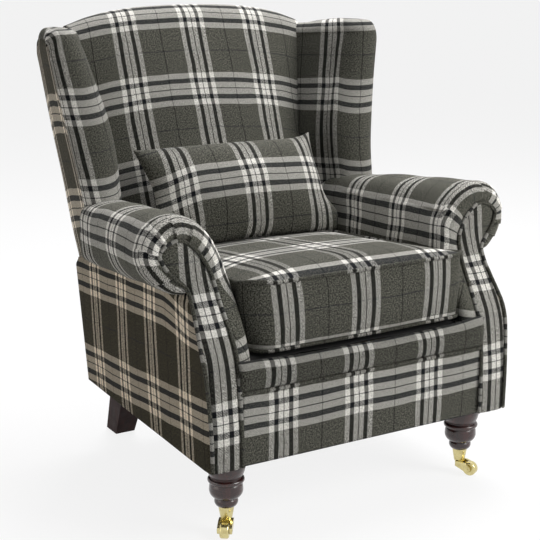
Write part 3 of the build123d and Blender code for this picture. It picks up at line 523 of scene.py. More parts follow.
# section of the right arm's cover as (x, z), from the seat over the roll to the seam under it
ARM_FRONT_SECTION = [
    (0.268, 0.330), (0.266, 0.400), (0.266, 0.460), (0.268, 0.510), (0.276, 0.560), (0.293, 0.605),
    (0.322, 0.641), (0.358, 0.660), (0.395, 0.661), (0.428, 0.649), (0.450, 0.622), (0.458, 0.588),
    (0.450, 0.558), (0.430, 0.532), (0.402, 0.511), (0.376, 0.503)]
ARM_REAR_SECTION = [
    (0.270, 0.330), (0.269, 0.390), (0.269, 0.440), (0.270, 0.490), (0.272, 0.540), (0.278, 0.584),
    (0.297, 0.6115), (0.330, 0.6195), (0.366, 0.619), (0.392, 0.611), (0.4045, 0.592), (0.4065, 0.560),
    (0.4065, 0.528), (0.404, 0.501), (0.390, 0.485), (0.360, 0.480)]
ARM_END_CENTRE = (0.345, 0.548)     # what the roll's rear end closes to
# where each point of that section is tucked under the facing's piping
ARM_TUCK = [
    (0.3052, 0.335), (0.3045, 0.395), (0.3058, 0.455), (0.309, 0.505), (0.314, 0.545), (0.326, 0.572),
    (0.346, 0.599), (0.366, 0.613), (0.385, 0.6165), (0.404, 0.611), (0.418, 0.598), (0.4215, 0.582),
    (0.412, 0.563), (0.398, 0.547), (0.384, 0.5325), (0.3725, 0.5235)]
FACING_Z = [0.165, 0.25, 0.31, 0.35, 0.374, 0.40, 0.425, 0.46, 0.495, 0.52, 0.545, 0.57, 0.596, 0.62, 0.68]
FACING_Y = [-0.414, -0.413, -0.409, -0.4045, -0.400, -0.3905, -0.376, -0.353, -0.330, -0.3175, -0.308,
            -0.303, -0.300, -0.299, -0.299]
PLEATS = (5.2, 6.6, 7.9, 9.2, 10.5, 11.8, 13.0)      # along the section, in its points
PLEAT_DEPTH = 0.0050
PLEAT_SLIP = 0.0018         # step of the check across each fold
PLEAT_LAP = 0.004           # cloth lost under each fold
HANG_POINT = 4.0            # point of the section below which the seat side is flat
RING_POINT = 6.5            # point of the section whose band the others are matched to
# ground left between the piping and the stripes that ring the scroll, beyond its least
RING_AT = [0, 4, 5.5, 7.4, 9, 11, 14]
RING_WIDTH = [0.009, 0.010, 0.010, 0.008, 0.002, 0.001, 0.003]
ARM_STRAIGHT = 0.6          # how far the lengthwise stripes ignore the roll's narrowing
TOP_POINT = 7.4


def facing_y(z):
    """Front of the arm facing at height z."""
    return curve1(FACING_Z, FACING_Y, z)


def make_arm(side):
    """Cover of a rolled arm, with the pleated band that turns in round the front of its scroll."""
    steps = np.concatenate([np.linspace(0, 4, 33)[:-1], np.linspace(4, 15, 221)])
    front = spline(ARM_FRONT_SECTION, steps)
    rear = spline(ARM_REAR_SECTION, steps)
    tuck = spline(ARM_TUCK, steps)
    tuck_y = facing_y(tuck[:, 1]) + 0.001
    depth = 0.020 + 0.012 * smooth(3, 6, steps)
    edge_y = facing_y(np.clip(front[:, 1], 0.3, 0.66)) + depth
    edge_y = np.maximum(edge_y, tuck_y + depth * 0.8)
    # the seat side runs on to the inside back, the outer side ends at the wing's seam
    rear_end = 0.262 - 0.112 * smooth(5.5, 8.5, steps)
    rows = []
    count = 46
    for i in range(count):
        share = (i / (count - 1)) ** 0.85
        y = rear_end + (edge_y - rear_end) * share
        t = np.clip((y - ARM_REAR_Y) / (ARM_NOSE_Y - ARM_REAR_Y), -0.2, 1.1)[:, None]
        section = rear + (front - rear) * t
        rows.append(np.column_stack([section[:, 0], y, section[:, 1]]))
    rolled = smooth(3.5, 6, steps)
    outer = smooth(7.5, 10, steps)
    for i, row in enumerate(rows):
        s = i / (count - 1)
        # the roll's back is fuller in the middle, and its outer end is drawn in to the wing
        row[:, 2] += 0.005 * math.sin(math.pi * min(1, s * 1.1)) * rolled * (1 - smooth(9, 11, steps))
        close = math.exp(-s / 0.02)
        row[:, 0] -= 0.003 * close * outer
        row[:, 2] -= 0.004 * close * rolled * (1 - outer)
        # soft hollows and swells that stuffing leaves along the roll
        ripple = 0.0016 * np.sin(row[:, 1] * 23 + steps * 0.9) * rolled * s
        ripple += 0.001 * np.sin(row[:, 1] * 41 + 2)
        row[:, 0] += ripple * np.where(steps < 5, -1, 0.5)
        row[:, 2] += ripple * rolled
    # the rear end of the roll closes flat against the wing
    cap = []
    for shrink, back in ((0.05, 0.006), (0.5, 0.006), (0.9, 0.0055), (0.965, 0.003)):
        row = rows[0].copy()
        keep = 1 - (1 - shrink) * smooth(6, 8.5, steps)
        row[:, 0] = ARM_END_CENTRE[0] + (row[:, 0] - ARM_END_CENTRE[0]) * keep
        row[:, 2] = ARM_END_CENTRE[1] + (row[:, 2] - ARM_END_CENTRE[1]) * keep
        row[:, 1] += back
        cap.append(row)
    rows = cap + rows
    last = rows[-1].copy()
    end = 1.92 + 0.12 * smooth(4, 6, steps)
    turns = 24
    pleat_at = np.array(PLEATS)
    sector = np.searchsorted(pleat_at, steps)
    bounds = np.concatenate([[3.6], pleat_at, [14.4]])
    lift = np.clip((steps - bounds[sector]) / (bounds[sector + 1] - bounds[sector]), 0, 1)
    folded = smooth(3.8, 5.2, steps) * (1 - smooth(13.6, 14.6, steps))
    for k in range(1, turns + 1):
        phi = end * k / turns
        a = (1 - np.cos(phi)) / (1 - np.cos(end))
        b = np.sin(phi) / np.sin(end)
        x = last[:, 0] + (tuck[:, 0] - last[:, 0]) * a
        z = last[:, 2] + (tuck[:, 1] - last[:, 2]) * a
        y = last[:, 1] + (tuck_y - last[:, 1]) * b
        # a pleat stands proud along its folded edge and dips under the next one
        weight = smooth(0.10, 0.70, k / turns) * folded
        y = y - weight * PLEAT_DEPTH * (lift**2.5 - 0.35 * (1 - lift) ** 3)
        rows.append(np.column_stack([x, y, z]))
    # the cloth turns in behind the piping
    inward = rows[-1].copy()
    inward[:, 1] += 0.012
    rows.append(inward)
    P = np.array(rows)
    n_rows, n_cols = P.shape[:2]

    # cloth coordinates: u along the arm, v round the section from the top line
    centre = int(np.argmin(abs(steps - TOP_POINT)))
    v = across(P)
    v = v - v[:, centre:centre + 1]
    # the roll narrows to the rear, but the check keeps to straight lines along it
    edge_row = count - 1 + len(cap)
    v[:len(cap)] = v[len(cap)]
    v[:edge_row] = v[:edge_row] + (v[edge_row] - v[:edge_row]) * ARM_STRAIGHT
    u = down(P)
    u = u - u[edge_row]
    # low on the seat side the stripes hang straight while the edge runs on forwards
    hang = np.interp(HANG_POINT, steps, edge_y) - edge_y
    u = u + hang[None] * (1 - smooth(HANG_POINT - 0.6, HANG_POINT + 0.4, steps))[None]
    # the stripes that ring the scroll keep their distance from its piping
    band = u[edge_row + turns]
    ring = np.clip(np.interp(RING_POINT, steps, band) - band, -0.020, 0.020) * smooth(2.5, 5, steps)
    ring = ring + np.interp(steps, RING_AT, RING_WIDTH)
    near = smooth(0.09, 0.0, -u)
    u = u + ring[None] * near
    # past the edge the check steps at each fold
    cells = np.zeros((n_rows - 1, n_cols - 1, 4, 2))
    base = v[edge_row]
    cell_sector = np.searchsorted(pleat_at, (steps[1:] + steps[:-1]) / 2)
    slip = PLEAT_SLIP * (cell_sector % 2 * 2 - 1)
    lap = PLEAT_LAP * (cell_sector - cell_sector.max() / 2)
    for i in range(n_rows - 1):
        for c, (di, dj) in enumerate(((0, 0), (0, 1), (1, 1), (1, 0))):
            r = i + di
            cols = np.arange(n_cols - 1) + dj
            vv, uu = v[r, cols], u[r, cols]
            if r > edge_row:
                blend = folded[cols] * smooth(0, 7, r - edge_row)
                vv = base[cols] + lap * blend
                uu = uu + slip * blend
            cells[i, :, c, 0] = uu
            cells[i, :, c, 1] = vv
    cover("arm_cover_" + side, P, laid(cells, "arm_" + side), TARTAN_ARM_PAINTED_LIGHT, ["arm_pad_" + side],
          mirror=side == "left", flip=True)


# ---- arm facings
FACING_IN_Z = [0.165, 0.310, 0.414, 0.505, 0.526, 0.545, 0.565, 0.577, 0.594, 0.610, 0.616, 0.6175]
FACING_IN_X = [0.303, 0.3055, 0.3045, 0.3090, 0.311, 0.314, 0.3225, 0.3295, 0.3415, 0.360, 0.372, 0.386]
FACING_OUT_Z = [0.165, 0.215, 0.267, 0.321, 0.372, 0.399, 0.418, 0.453, 0.482, 0.502, 0.520, 0.531, 0.544,
                0.556, 0.567, 0.580, 0.592, 0.602, 0.611, 0.6175]
FACING_OUT_X = [0.3715, 0.3725, 0.374, 0.376, 0.3785, 0.379, 0.378, 0.3735, 0.3705, 0.3700, 0.372, 0.381,
                0.394, 0.405, 0.4135, 0.4195, 0.4225, 0.4165, 0.404, 0.386]

FACING_MIDDLE = 0.343       # x that the facing's check is measured from
FACING_PIPING_START = {"left": 0.061, "right": 0.161}   # where the check starts along the piping
PIPING_RADIUS = 0.0042
PIPING_PROUD = 0.0028       # how far the middle of the piping stands in front of the facing


def facing_path():
    """Line of the piping: up the inner edge, over the scroll and down the outer edge."""
    inner = list(zip(FACING_IN_X, FACING_IN_Z))
    outer = list(zip(FACING_OUT_X, FACING_OUT_Z))[-2::-1]
    flat = spline(inner + outer, np.linspace(0, len(inner) + len(outer) - 1, 900))
    flat = resample(flat, 420)
    return np.column_stack([flat[:, 0], facing_y(flat[:, 1]), flat[:, 1]])


def make_facing(side):
    """Tear-drop facing of an arm and the piping round it."""
    left = side == "left"
    # rows gather towards the rounded top
    upper = 0.617 - 0.117 * (1 - np.linspace(0, 1, 46)[1:]) ** 1.6
    z = np.concatenate([np.linspace(0.165, 0.50, 60), upper])
    x_in = np.interp(z, FACING_IN_Z, FACING_IN_X)
    x_out = np.interp(z, FACING_OUT_Z, FACING_OUT_X)
    cols = 25
    t = np.linspace(0, 1, cols)
    X = x_in[:, None] + (x_out - x_in)[:, None] * t[None]
    crown = 0.0065 * (1 - (2 * t - 1) ** 4)[None] * np.clip((x_out - x_in) / 0.05, 0, 1)[:, None]
    Y = facing_y(z)[:, None] + 0.002 - crown
    along = arc_length(np.column_stack([facing_y(z), z]))
    across_pad = X - FACING_MIDDLE
    UV = laid(joined(-across_pad if left else across_pad, along[:, None]), "facing_" + side)
    cover("arm_facing_cover_" + side, joined(X, Y, z[:, None]), UV, TARTAN, ["arm_facing_" + side],
          depth=0.008, mirror=left)
    path = facing_path() - [0, PIPING_PROUD, 0]
    bead = tube("arm_facing_piping_" + side, mirror_x(path) if left else path, PIPING_RADIUS, PIPING_PAINTED_SHADE,
                uv=(0.04, FACING_PIPING_START[side]), wrinkle=0.03)
    return bead


for side in ("left", "right"):
    make_arm(side)
    bead = make_facing(side)
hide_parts("facing_welts")


# ---- outside arm panels
BODY_FRONT = -0.412
BODY_HALF_FRONT, BODY_HALF_REAR = 0.376, 0.354


def body_half(y):
    """Half of the body's width at y, below the arms."""
    share = (y - BODY_FRONT) / (BODY_REAR - BODY_FRONT)
    return BODY_HALF_FRONT + share * (BODY_HALF_REAR - BODY_HALF_FRONT)


NECK_DIP = 0.036            # how far the stripes are pulled down under the scroll
# top edge of the outside arm, hidden under the roll as far as the wing
PANEL_TOP_Y = [-0.318, -0.27, -0.12, -0.04, 0.047, 0.12, 0.16, 0.22, 0.27, 0.312]
PANEL_TOP_Z = [0.508, 0.510, 0.513, 0.509, 0.501, 0.494, 0.489, 0.476, 0.465, 0.456]


def make_outside_arm(side):
    """Flat panel under the arm's roll, which turns in to the facing's piping at the front."""
    rows, cols = 70, 110
    s = np.linspace(0, 1, rows)
    w = np.linspace(0, 1, cols)
    W = w[None] ** 1.35
    z_top = curve1(PANEL_TOP_Y, PANEL_TOP_Z, PANEL_TOP_Y[0] + (PANEL_TOP_Y[-1] - PANEL_TOP_Y[0]) * W[0])
    Z = BODY_BOTTOM + (z_top[None] - BODY_BOTTOM) * s[:, None]
    y0 = facing_y(Z) + 0.001
    y1 = rear_y(Z) - 0.003
    Y = y0 + (y1 - y0) * W
    X = body_half(Y)
    # front corner: the panel turns in to meet the piping, which follows the facing
    edge_x = np.interp(Z, FACING_OUT_Z[:11], FACING_OUT_X[:11])
    turn = np.clip((Y - y0) / 0.030, 0, 1)
    X = edge_x + (X - edge_x) * np.sqrt(1 - (1 - turn) ** 2)
    # padding: a slight swell, drawn in at every edge
    swell = (np.sin(np.pi * np.clip(W, 0, 1)) ** 0.5) * (np.sin(np.pi * (0.02 + 0.96 * s))[:, None] ** 0.5)
    X = X + 0.004 * swell + 0.0012 * np.sin(Y * 17 + Z * 9) * swell
    X = X - (0.004 + 0.004 * W) * (1 - smooth(0, 0.06, 1 - s))[:, None]
    P = joined(X, Y, Z)
    # cloth is measured forwards from the rear edge and up from the bottom
    along = np.sqrt(np.diff(X, axis=1) ** 2 + np.diff(Y, axis=1) ** 2).cumsum(1)
    along = np.concatenate([np.zeros((rows, 1)), along], 1)
    U = along[:, -1:] - along - (y1 - y1[0, 0])
    V = down(P) + NECK_DIP * smooth(-0.19, -0.35, Y) * smooth(0.30, 0.46, Z)
    cover("outside_arm_cover_" + side, P, laid(joined(U, V), "panel_" + side), TARTAN_SIDE_PAINTED_LIGHT,
          ["outside_arm_" + side], mirror=side == "left")


# ---- front border and lip roll
SEAM_Z = 0.318
FRONT_HALF = 0.307
BORDER_Y = -0.4105
# the lip roll's section as (y, z): from the seam, forward and over, and back under the cushion
LIP_SECTION = [
    (-0.404, 0.317), (-0.4165, 0.326), (-0.4215, 0.345), (-0.4200, 0.362), (-0.4130, 0.3740),
    (-0.4030, 0.3770), (-0.3930, 0.3720), (-0.3850, 0.3640), (-0.3740, 0.3600), (-0.3540, 0.3590)]
# how far the lip's top stands above its level, from its left end (-1) to its right (1)
LIP_RISE_AT = [-1, -0.87, -0.6, -0.2, 0.3, 0.6, 0.8, 0.92, 1]
LIP_RISE = [0.006, 0.005, 0.0005, 0.0, 0.0005, 0.002, 0.006, 0.010, 0.012]


def make_front():
    """Border under the seat, the piping along its top and the lip roll over that."""
    cols = 121
    x = np.linspace(-FRONT_HALF, FRONT_HALF, cols)
    t = x / FRONT_HALF
    z = np.linspace(BODY_BOTTOM, SEAM_Z, 28)
    level = (z - BODY_BOTTOM) / (SEAM_Z - BODY_BOTTOM)
    swell = (1 - t**8)[None] * np.sin(np.pi * (0.05 + 0.9 * level))[:, None] ** 0.6
    Y = BORDER_Y - 0.0035 * swell - 0.0006 * np.sin(x * 31)[None] * swell
    UV = laid(joined(x[None], z[:, None] - SEAM_Z), "border")
    cover("front_border_cover", joined(x[None], Y, z[:, None]), UV, TARTAN, ["front_border"],
          depth=0.008)

    run = np.linspace(-FRONT_HALF, FRONT_HALF, 140)
    path = joined(run, BORDER_Y - 0.003, SEAM_Z + 0.0006 * np.sin(run * 40))
    bead = tube("front_border_piping", path, PIPING_RADIUS, PIPING_PAINTED_SHADE, uv=(-FRONT_HALF, 0.010),
                wrinkle=0.03, beside="border")
    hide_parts("front_border_welt")

    line = spline(LIP_SECTION, np.linspace(0, len(LIP_SECTION) - 1, 60))
    y, z = line[:, :1], line[:, 1:]
    # the front swells and dips along its length, and is drawn back at both ends
    forward = np.clip((LIP_SECTION[0][0] - y) / 0.018, 0, 1)
    Y = y + forward * (0.006 * smooth(0.965, 1.0, abs(t)) - 0.0015 * np.sin(x * 27 + 0.5))[None]
    Z = z + curve1(LIP_RISE_AT, LIP_RISE, t)[None] * smooth(0.33, 0.385, z)
    UV = laid(joined(x[None], arc_length(line)[:, None]), "lip")
    cover("front_lip_cover", joined(x[None], Y, Z), UV, TARTAN_LIP_PAINTED_SHADE, ["front_lip_roll"])


# ---- seat deck under the cushion
DECK_HALF = 0.272
DECK_FRONT, DECK_REAR = -0.366, 0.205
DECK_FRONT_Z = 0.383
DECK_EDGE = 0.03            # width of the border that rounds down


def make_deck():
    """Plain lining cloth over the springs, which falls to the rear with the cushion."""
    x = np.linspace(-DECK_HALF, DECK_HALF, 60)[None]
    y = np.linspace(DECK_FRONT, DECK_REAR, 50)[:, None]
    edge = np.minimum(1, (DECK_HALF - abs(x)) / DECK_EDGE) * np.minimum(1, (y - DECK_FRONT) / DECK_EDGE)
    Z = DECK_FRONT_Z + (y - DECK_FRONT) * math.tan(SEAT_TILT)
    Z = Z - 0.010 * (1 - np.clip(edge, 0, 1)) ** 2 + 0.001 * np.sin(x * 40) * np.sin(y * 33)
    P = joined(x, y, Z)
    cover("seat_deck_cloth", P, P[..., :2], DECK, ["seat_platform_pad", "seat_hessian"],
          depth=0.012)


# ---- inside back
BACK_HALF = 0.318
BACK_SKEW = 0.023           # the check rises to the left by this much for each metre
# half of the arched top, out from the middle
ARCH_X = [0, 0.08, 0.167, 0.22, 0.27, 0.30, 0.34]
ARCH_Z = [1.0405, 1.039, 1.033, 1.025, 1.013, 1.003, 0.990]
BACK_LEAN = 0.395           # how far the inside back goes to the rear for each metre up
CREST_ROUND = 0.034         # radius of the inside back's top front edge
CREST_FALL = 0.010          # how far the crest turns down behind
CREST_SAG = 0.0015          # how much lower it lies there
ARCH_FOLLOW = 0.35          # how much of the arch's fall the check leaves out


def arch_z(x):
    """Top of the back at x: highest in the middle, running down to the wings."""
    return curve1([-a for a in ARCH_X[:0:-1]] + ARCH_X, ARCH_Z[:0:-1] + ARCH_Z, x)


def back_front_y(x, z):
    """Face of the inside back."""
    base = 0.272 + (np.maximum(z, 0.56) - 0.80) * BACK_LEAN
    # the padding is fullest in the lower middle, and falls away to the sides
    hollow = 0.040 * (1 - smooth(0.62, 0.98, z)) * (np.abs(x) / 0.27) ** 2.4
    return base + 0.024 * (np.abs(x) / 0.308) ** 2.2 + hollow


def make_back():
    """Padded inside back, rolled over the arched crest and down behind it."""
    rows, cols = 150, 141
    r = CREST_ROUND
    P = []
    for xi in np.linspace(-BACK_HALF, BACK_HALF, cols):
        top = float(arch_z(xi))
        z_end = top - r
        z = np.linspace(0.36, z_end, 90)
        y = back_front_y(xi, z)
        # tuck into the seat, and swell a little above it
        y = y + 0.012 * (1 - smooth(0.36, 0.48, z)) - 0.006 * np.exp(-((z - 0.63) / 0.09) ** 2)
        rear = rear_y(top) - 0.003
        a = np.linspace(0, math.pi / 2, 14)[1:]
        over_y = y[-1] + r * (1 - np.cos(a)) + r * np.sin(a) * BACK_LEAN * (1 - a / 2.4) * 0.9
        flat_y = np.linspace(over_y[-1], rear - CREST_FALL, 8)[1:]
        flat_z = top - CREST_SAG * np.linspace(0, 1, 8)[1:] ** 2
        b = np.linspace(0, math.pi / 2, 7)[1:]
        fall_y = rear - CREST_FALL + CREST_FALL * np.sin(b)
        fall_z = top - CREST_SAG - CREST_FALL * (1 - np.cos(b))
        line = np.column_stack([np.concatenate([y, over_y, flat_y, fall_y]),
                                np.concatenate([z, z_end + r * np.sin(a), flat_z, fall_z])])
        P.append(np.column_stack([np.full(rows, xi), resample(line, rows)]))
    P = np.array(P).transpose(1, 0, 2)
    # cloth is measured down from the top edge, which the check follows at the arch
    s = down(P)
    middle = cols // 2
    V = s - s[-1:] + ARCH_FOLLOW * (s[-1:] - s[-1, middle])
    U = across(P)
    U = U - U[:, middle:middle + 1]
    UV = laid(joined(U, V + BACK_SKEW * U), "back")
    cover("inside_back_cover", P, UV, TARTAN, ["inside_back_pad"])


# ---- wings
WING_LOW = 0.53             # the cover's lower edge, inside the arm's roll
WING_TOP = 1.000
WING_ROUND = 0.030          # radius of the wing's top edge
WING_SEAM_Z = [0.50, 0.61, 0.69, 0.76, 0.86, 0.965, 1.0]
WING_SEAM_X = [0.378, 0.391, 0.399, 0.409, 0.424, 0.440, 0.445]
WING_SEAM_Y = [0.118, 0.137, 0.157, 0.170, 0.185, 0.197, 0.203]
WING_REAR = (0.384, 0.965)      # x and z of the corner where wing, outside wing and outside back meet
# heights and the x there: rear edge of the outside wing, where the wing meets the inside back, and
# the innermost reach of its front roll
WING_REAR_X = ([0.440, 0.456, 0.499, 0.542, 0.583, 0.625, 0.672, 0.743, 0.813, 0.895, 0.950, 0.975, 1.0],
               [0.341, 0.3422, 0.3475, 0.3520, 0.3555, 0.3588, 0.3635, 0.3715, 0.3784, 0.3859, 0.3905,
                0.389, 0.380])
WING_JOIN_X = ([0.50, 0.60, 0.684, 0.80, 0.897, 0.946, 0.986, 1.02],
               [0.258, 0.252, 0.2505, 0.268, 0.282, 0.289, 0.2949, 0.300])
WING_INNER_X = ([0.50, 0.633, 0.712, 0.80, 0.872, 0.95, 1.0],
                [0.296, 0.294, 0.293, 0.305, 0.326, 0.350, 0.370])


def wing_corner(z):
    """Seam at the front of the outside wing at height z, as x and y."""
    return curve1(WING_SEAM_Z, WING_SEAM_X, z), curve1(WING_SEAM_Z, WING_SEAM_Y, z)


def wing_line(z, n):
    """Plan line of the wing's cover: from the outer seam round the front and back to the inside back."""
    cx, cy = wing_corner(z)
    ix = curve1(*WING_INNER_X, z)
    width = cx - ix
    join_x = curve1(*WING_JOIN_X, z) + 0.006
    p = [(cx, cy + 0.010), (cx - 0.002, cy - 0.004), (cx - 0.20 * width, cy - 0.019),
         (cx - 0.48 * width, cy - 0.0225), (cx - 0.76 * width, cy - 0.012), (ix + 0.03 * width, cy + 0.012),
         (ix, cy + 0.040)]
    start, end = np.array(p[-1]), np.array([join_x, back_front_y(join_x, z) + 0.012])
    for f in (0.3, 0.6, 0.85, 1.0):
        bulge = 0.004 * math.sin(math.pi * f)
        p.append(start + (end - start) * f - [bulge, 0])
    return resample(spline(p, np.linspace(0, len(p) - 1, 400)), n)


def make_wing(side):
    """Wing cover, rolled at its front and over its top, and the flat panel outside it."""
    left = side == "left"
    n = 150
    levels = np.linspace(WING_LOW, 1.0, 90)
    lines = np.array([wing_line(z, n) for z in levels])
    share = np.linspace(0, 1, n)
    # top of the wing along its plan line: a rounded front corner, then nearly level to the arch
    z_top = WING_TOP - 0.012 * smooth(0.45, 1.0, share) - 0.030 * (1 - smooth(0.0, 0.17, share)) ** 1.3
    r = WING_ROUND
    z_base = z_top - r
    rows = []
    steps = 56
    for k in range(steps + 1):
        z = WING_LOW + (z_base - WING_LOW) * k / steps
        rows.append(np.array([[*(np.interp(zz, levels, lines[:, j, axis]) for axis in (0, 1)), zz]
                              for j, zz in enumerate(z)]))
    base = rows[-1]
    # the top closes over to the outer seam, which runs from the front corner to the outside back
    along = np.clip(share / 0.96, 0, 1) ** 1.1
    cx, cy = wing_corner(0.975)
    rear_x, rear = WING_REAR[0], rear_y(WING_REAR[1]) - 0.008
    edge = smooth(0.0, 0.20, share)
    inset = 0.018 * edge
    ridge = joined(cx + (rear_x - cx) * along + 0.006 * np.sin(math.pi * along) - inset,
                   cy + 0.010 + (rear - cy - 0.010) * along)
    z_ridge = z_top - 0.014 * smooth(0.80, 1.0, along) ** 1.4
    gap = ridge - base[:, :2]
    reach = np.linalg.norm(gap, axis=1)
    way = gap / np.maximum(reach, 1e-6)[:, None]
    for a in np.linspace(0, math.pi / 2, 15)[1:]:
        step = np.minimum(reach, r) * (1 - math.cos(a))
        rows.append(np.column_stack([base[:, :2] + way * step[:, None], z_base + r * math.sin(a)]))
    top = rows[-1]
    lift = 0.002 * smooth(0.1, 0.3, share)
    for f in (0.2, 0.4, 0.6, 0.8, 1.0):
        row = top + (np.column_stack([ridge, z_ridge]) - top) * f
        row[:, 2] += lift * math.sin(math.pi * f)
        rows.append(row)
    # over the outer edge and down to the seam of the outside panel
    last = rows[-1]
    for a in np.linspace(0, math.pi / 2, 9)[1:]:
        rows.append(last + joined(inset * math.sin(a), 0, -0.024 * edge * (1 - math.cos(a))))
    seam = rows[-1]
    P = np.array(rows)
    V = down(P)
    V = V - V[steps:steps + 1] + z_base[None]
    # plumb lines of the cloth follow the plan line, and over the top they run on as they come
    U = across(P)
    U[steps + 1:] = U[steps]
    cover("wing_cover_" + side, P, laid(joined(U, V), "wing_" + side), TARTAN, ["wing_pad_" + side],
          mirror=left, flip=True)

    # outside wing panel
    rows, cols = 60, 60
    w = np.linspace(0, 1, cols)
    s = np.linspace(0, 1, rows)
    z_low = 0.500 - 0.045 * w
    top_line = np.interp(cy + 0.006 + (rear + 0.004 - cy) * w, seam[:, 1], seam[:, 2]) + 0.0015
    Z = z_low[None] + (top_line - z_low)[None] * s[:, None]
    fx, fy = wing_corner(Z)
    fy = fy + 0.006
    ry = rear_y(Z) - 0.003
    Y = fy + (ry - fy) * w[None]
    X = fx + (curve1(*WING_REAR_X, Z) - fx) * w[None]
    swell = np.sin(np.pi * (0.04 + 0.92 * w))[None] ** 0.5
    swell = swell * np.sin(np.pi * (0.02 + 0.96 * s))[:, None] ** 0.4
    X = X + 0.0035 * swell - 0.001
    X = X - 0.003 * (1 - smooth(0, 0.03, 1 - s))[:, None]
    P = joined(X, Y, Z)
    UV = laid(joined(across(P), Z[:, :1]), "wing_side_" + side)
    cover("outside_wing_cover_" + side, P, UV, TARTAN_WING_PAINTED_LIGHT, ["outside_wing_" + side],
          depth=0.005, mirror=left)


# ---- outside back
# half of its width at heights up to its top corners
REAR_HALF_Z = [0.165, 0.30, 0.42, 0.456, 0.50, 0.60, 0.70, 0.80, 0.90, 0.945, 0.962, 0.974]
REAR_HALF_X = [0.353, 0.3505, 0.3455, 0.342, 0.3475, 0.3565, 0.3665, 0.377, 0.386, 0.3885, 0.384, 0.374]


def make_outside_back():
    """Flat panel between the bottom edge and the arched top, its check level all the way up."""
    rows, cols = 90, 80
    s = np.linspace(0, 1, rows)[:, None]
    t = np.linspace(-1, 1, cols)[None]
    z_edge = BODY_BOTTOM + (REAR_HALF_Z[-1] - BODY_BOTTOM) * s
    z_middle = BODY_BOTTOM + (OVERALL_HEIGHT - 0.004 - BODY_BOTTOM) * s
    X = curve1(REAR_HALF_Z, REAR_HALF_X, z_edge) * t
    arch = (arch_z(np.clip(X, -0.33, 0.33)) - ARCH_Z[-1]) / (ARCH_Z[0] - ARCH_Z[-1])
    Z = z_edge + (z_middle - z_edge) * np.clip(arch, 0, 1)
    P = joined(X, rear_y(Z) - 0.004 + 0.005 * (1 - abs(t) ** 6) * (1 - (2 * s - 1) ** 10), Z)
    V = down(P)
    UV = laid(joined(X, V - V[-1, cols // 2] + 0.02), "outside_back")
    cover("outside_back_cover", P, UV, TARTAN_SIDE_PAINTED_LIGHT, ["outside_back"],
          flip=True)


# ---- loose cushions
SEAT_SIZE = (0.512, 0.532)
SEAT_EDGE = 0.1355
SEAT_CORNERS = (0.052, 0.026)
SEAT_SPREAD = (0.006, 0.024)    # how far the top of its front pushes out past the arms, left and right
SEAT_SPREAD_LOW = 0.013     # the same for the bottom of its right front corner
SEAT_DROOP = (0.008, 0.005)     # how far its front edge hangs over the lip, left and right
SEAT_ORIGIN = np.array([0.0, -0.387, 0.3905])
SEAT_TILT = math.radians(-4.5)
SEAT_PIPING_RADIUS = 0.0043
ZIP_HALF = 0.20
ZIP_TAPE = ((-0.009, 0), (-0.002, 0.0008), (0.002, 0.0008), (0.009, 0))     # rows: height, how far out
PILLOW_SIZE = (0.487, 0.256)
PILLOW_CENTRE = np.array([-0.014, 0.112, 0.624])
PILLOW_TILT = math.radians(90 - 25.7)
PILLOW_DEPTH = 0.060        # how far its face stands out in the middle
PILLOW_BEND = 0.017         # how far its check bends down towards its pinched left end
# how far each edge lies outside the plain rectangle, along the edge from -1 to 1
PILLOW_TOP = ([-1, -0.8, -0.25, 0.35, 0.65, 0.85, 1],
              [-0.0158, -0.0160, -0.0158, -0.0165, -0.0181, -0.0150, -0.0060])
PILLOW_BOTTOM = ([-1, -0.3, 0, 0.46, 1], [-0.001, 0.0025, 0.0055, 0.0010, -0.0015])
PILLOW_RIGHT = ([-1, -0.66, -0.41, 0, 0.42, 0.8, 1],
                [0.004, 0.0140, -0.0040, -0.0150, -0.0170, -0.0155, -0.0125])
PILLOW_LEFT = ([-1, -0.5, 0.09, 0.52, 0.85, 1], [-0.004, 0.0150, 0.0247, 0.0125, 0.0010, -0.0040])
PUFF_CAP = 0.012            # furthest that the air in a cushion may push its cloth


def turned(points, tilt, origin):
    """Local points turned about X and moved to their place."""
    c, s = math.cos(tilt), math.sin(tilt)
    x, y, z = points[..., 0], points[..., 1], points[..., 2]
    return joined(x, c * y - s * z, s * y + c * z) + origin


def rounded_plan(n, m, size, corners):
    """Grid over a rectangle whose corners are rounded, by one radius at its left and one at its right."""
    w, d = size[0] / 2, size[1] / 2
    x, y = np.meshgrid(np.linspace(-w, w, n), np.linspace(-d, d, m))
    corner = corners[0] + (corners[1] - corners[0]) * smooth(-w, w, x)
    qx = np.clip((abs(x) - (w - corner)) / corner, 0, 1)
    qy = np.clip((abs(y) - (d - corner)) / corner, 0, 1)
    both = (qx > 0) & (qy > 0)
    nx = np.where(both, (w - corner) + corner * qx * np.sqrt(1 - qy**2 / 2), abs(x))
    ny = np.where(both, (d - corner) + corner * qy * np.sqrt(1 - qx**2 / 2), abs(y))
    return np.sign(x) * nx, np.sign(y) * ny


def rim_of(n, m):
    """Indices round the edge of an n by m grid, starting at the middle of the front."""
    idx = np.arange(n * m).reshape(m, n)
    loop = list(idx[0, n // 2:]) + list(idx[1:, -1]) + list(idx[-1, :-1][::-1]) + list(idx[:-1, 0][::-1])
    return loop + list(idx[0, 1:n // 2])


def quads(n, m, flip):
    """Corners of each cell of an n by m grid."""
    idx = np.arange(n * m).reshape(m, n)
    cells = [[int(q) for q in (idx[i, j], idx[i, j + 1], idx[i + 1, j + 1], idx[i + 1, j])]
             for i in range(m - 1) for j in range(n - 1)]
    return [quad[::-1] for quad in cells] if flip else cells


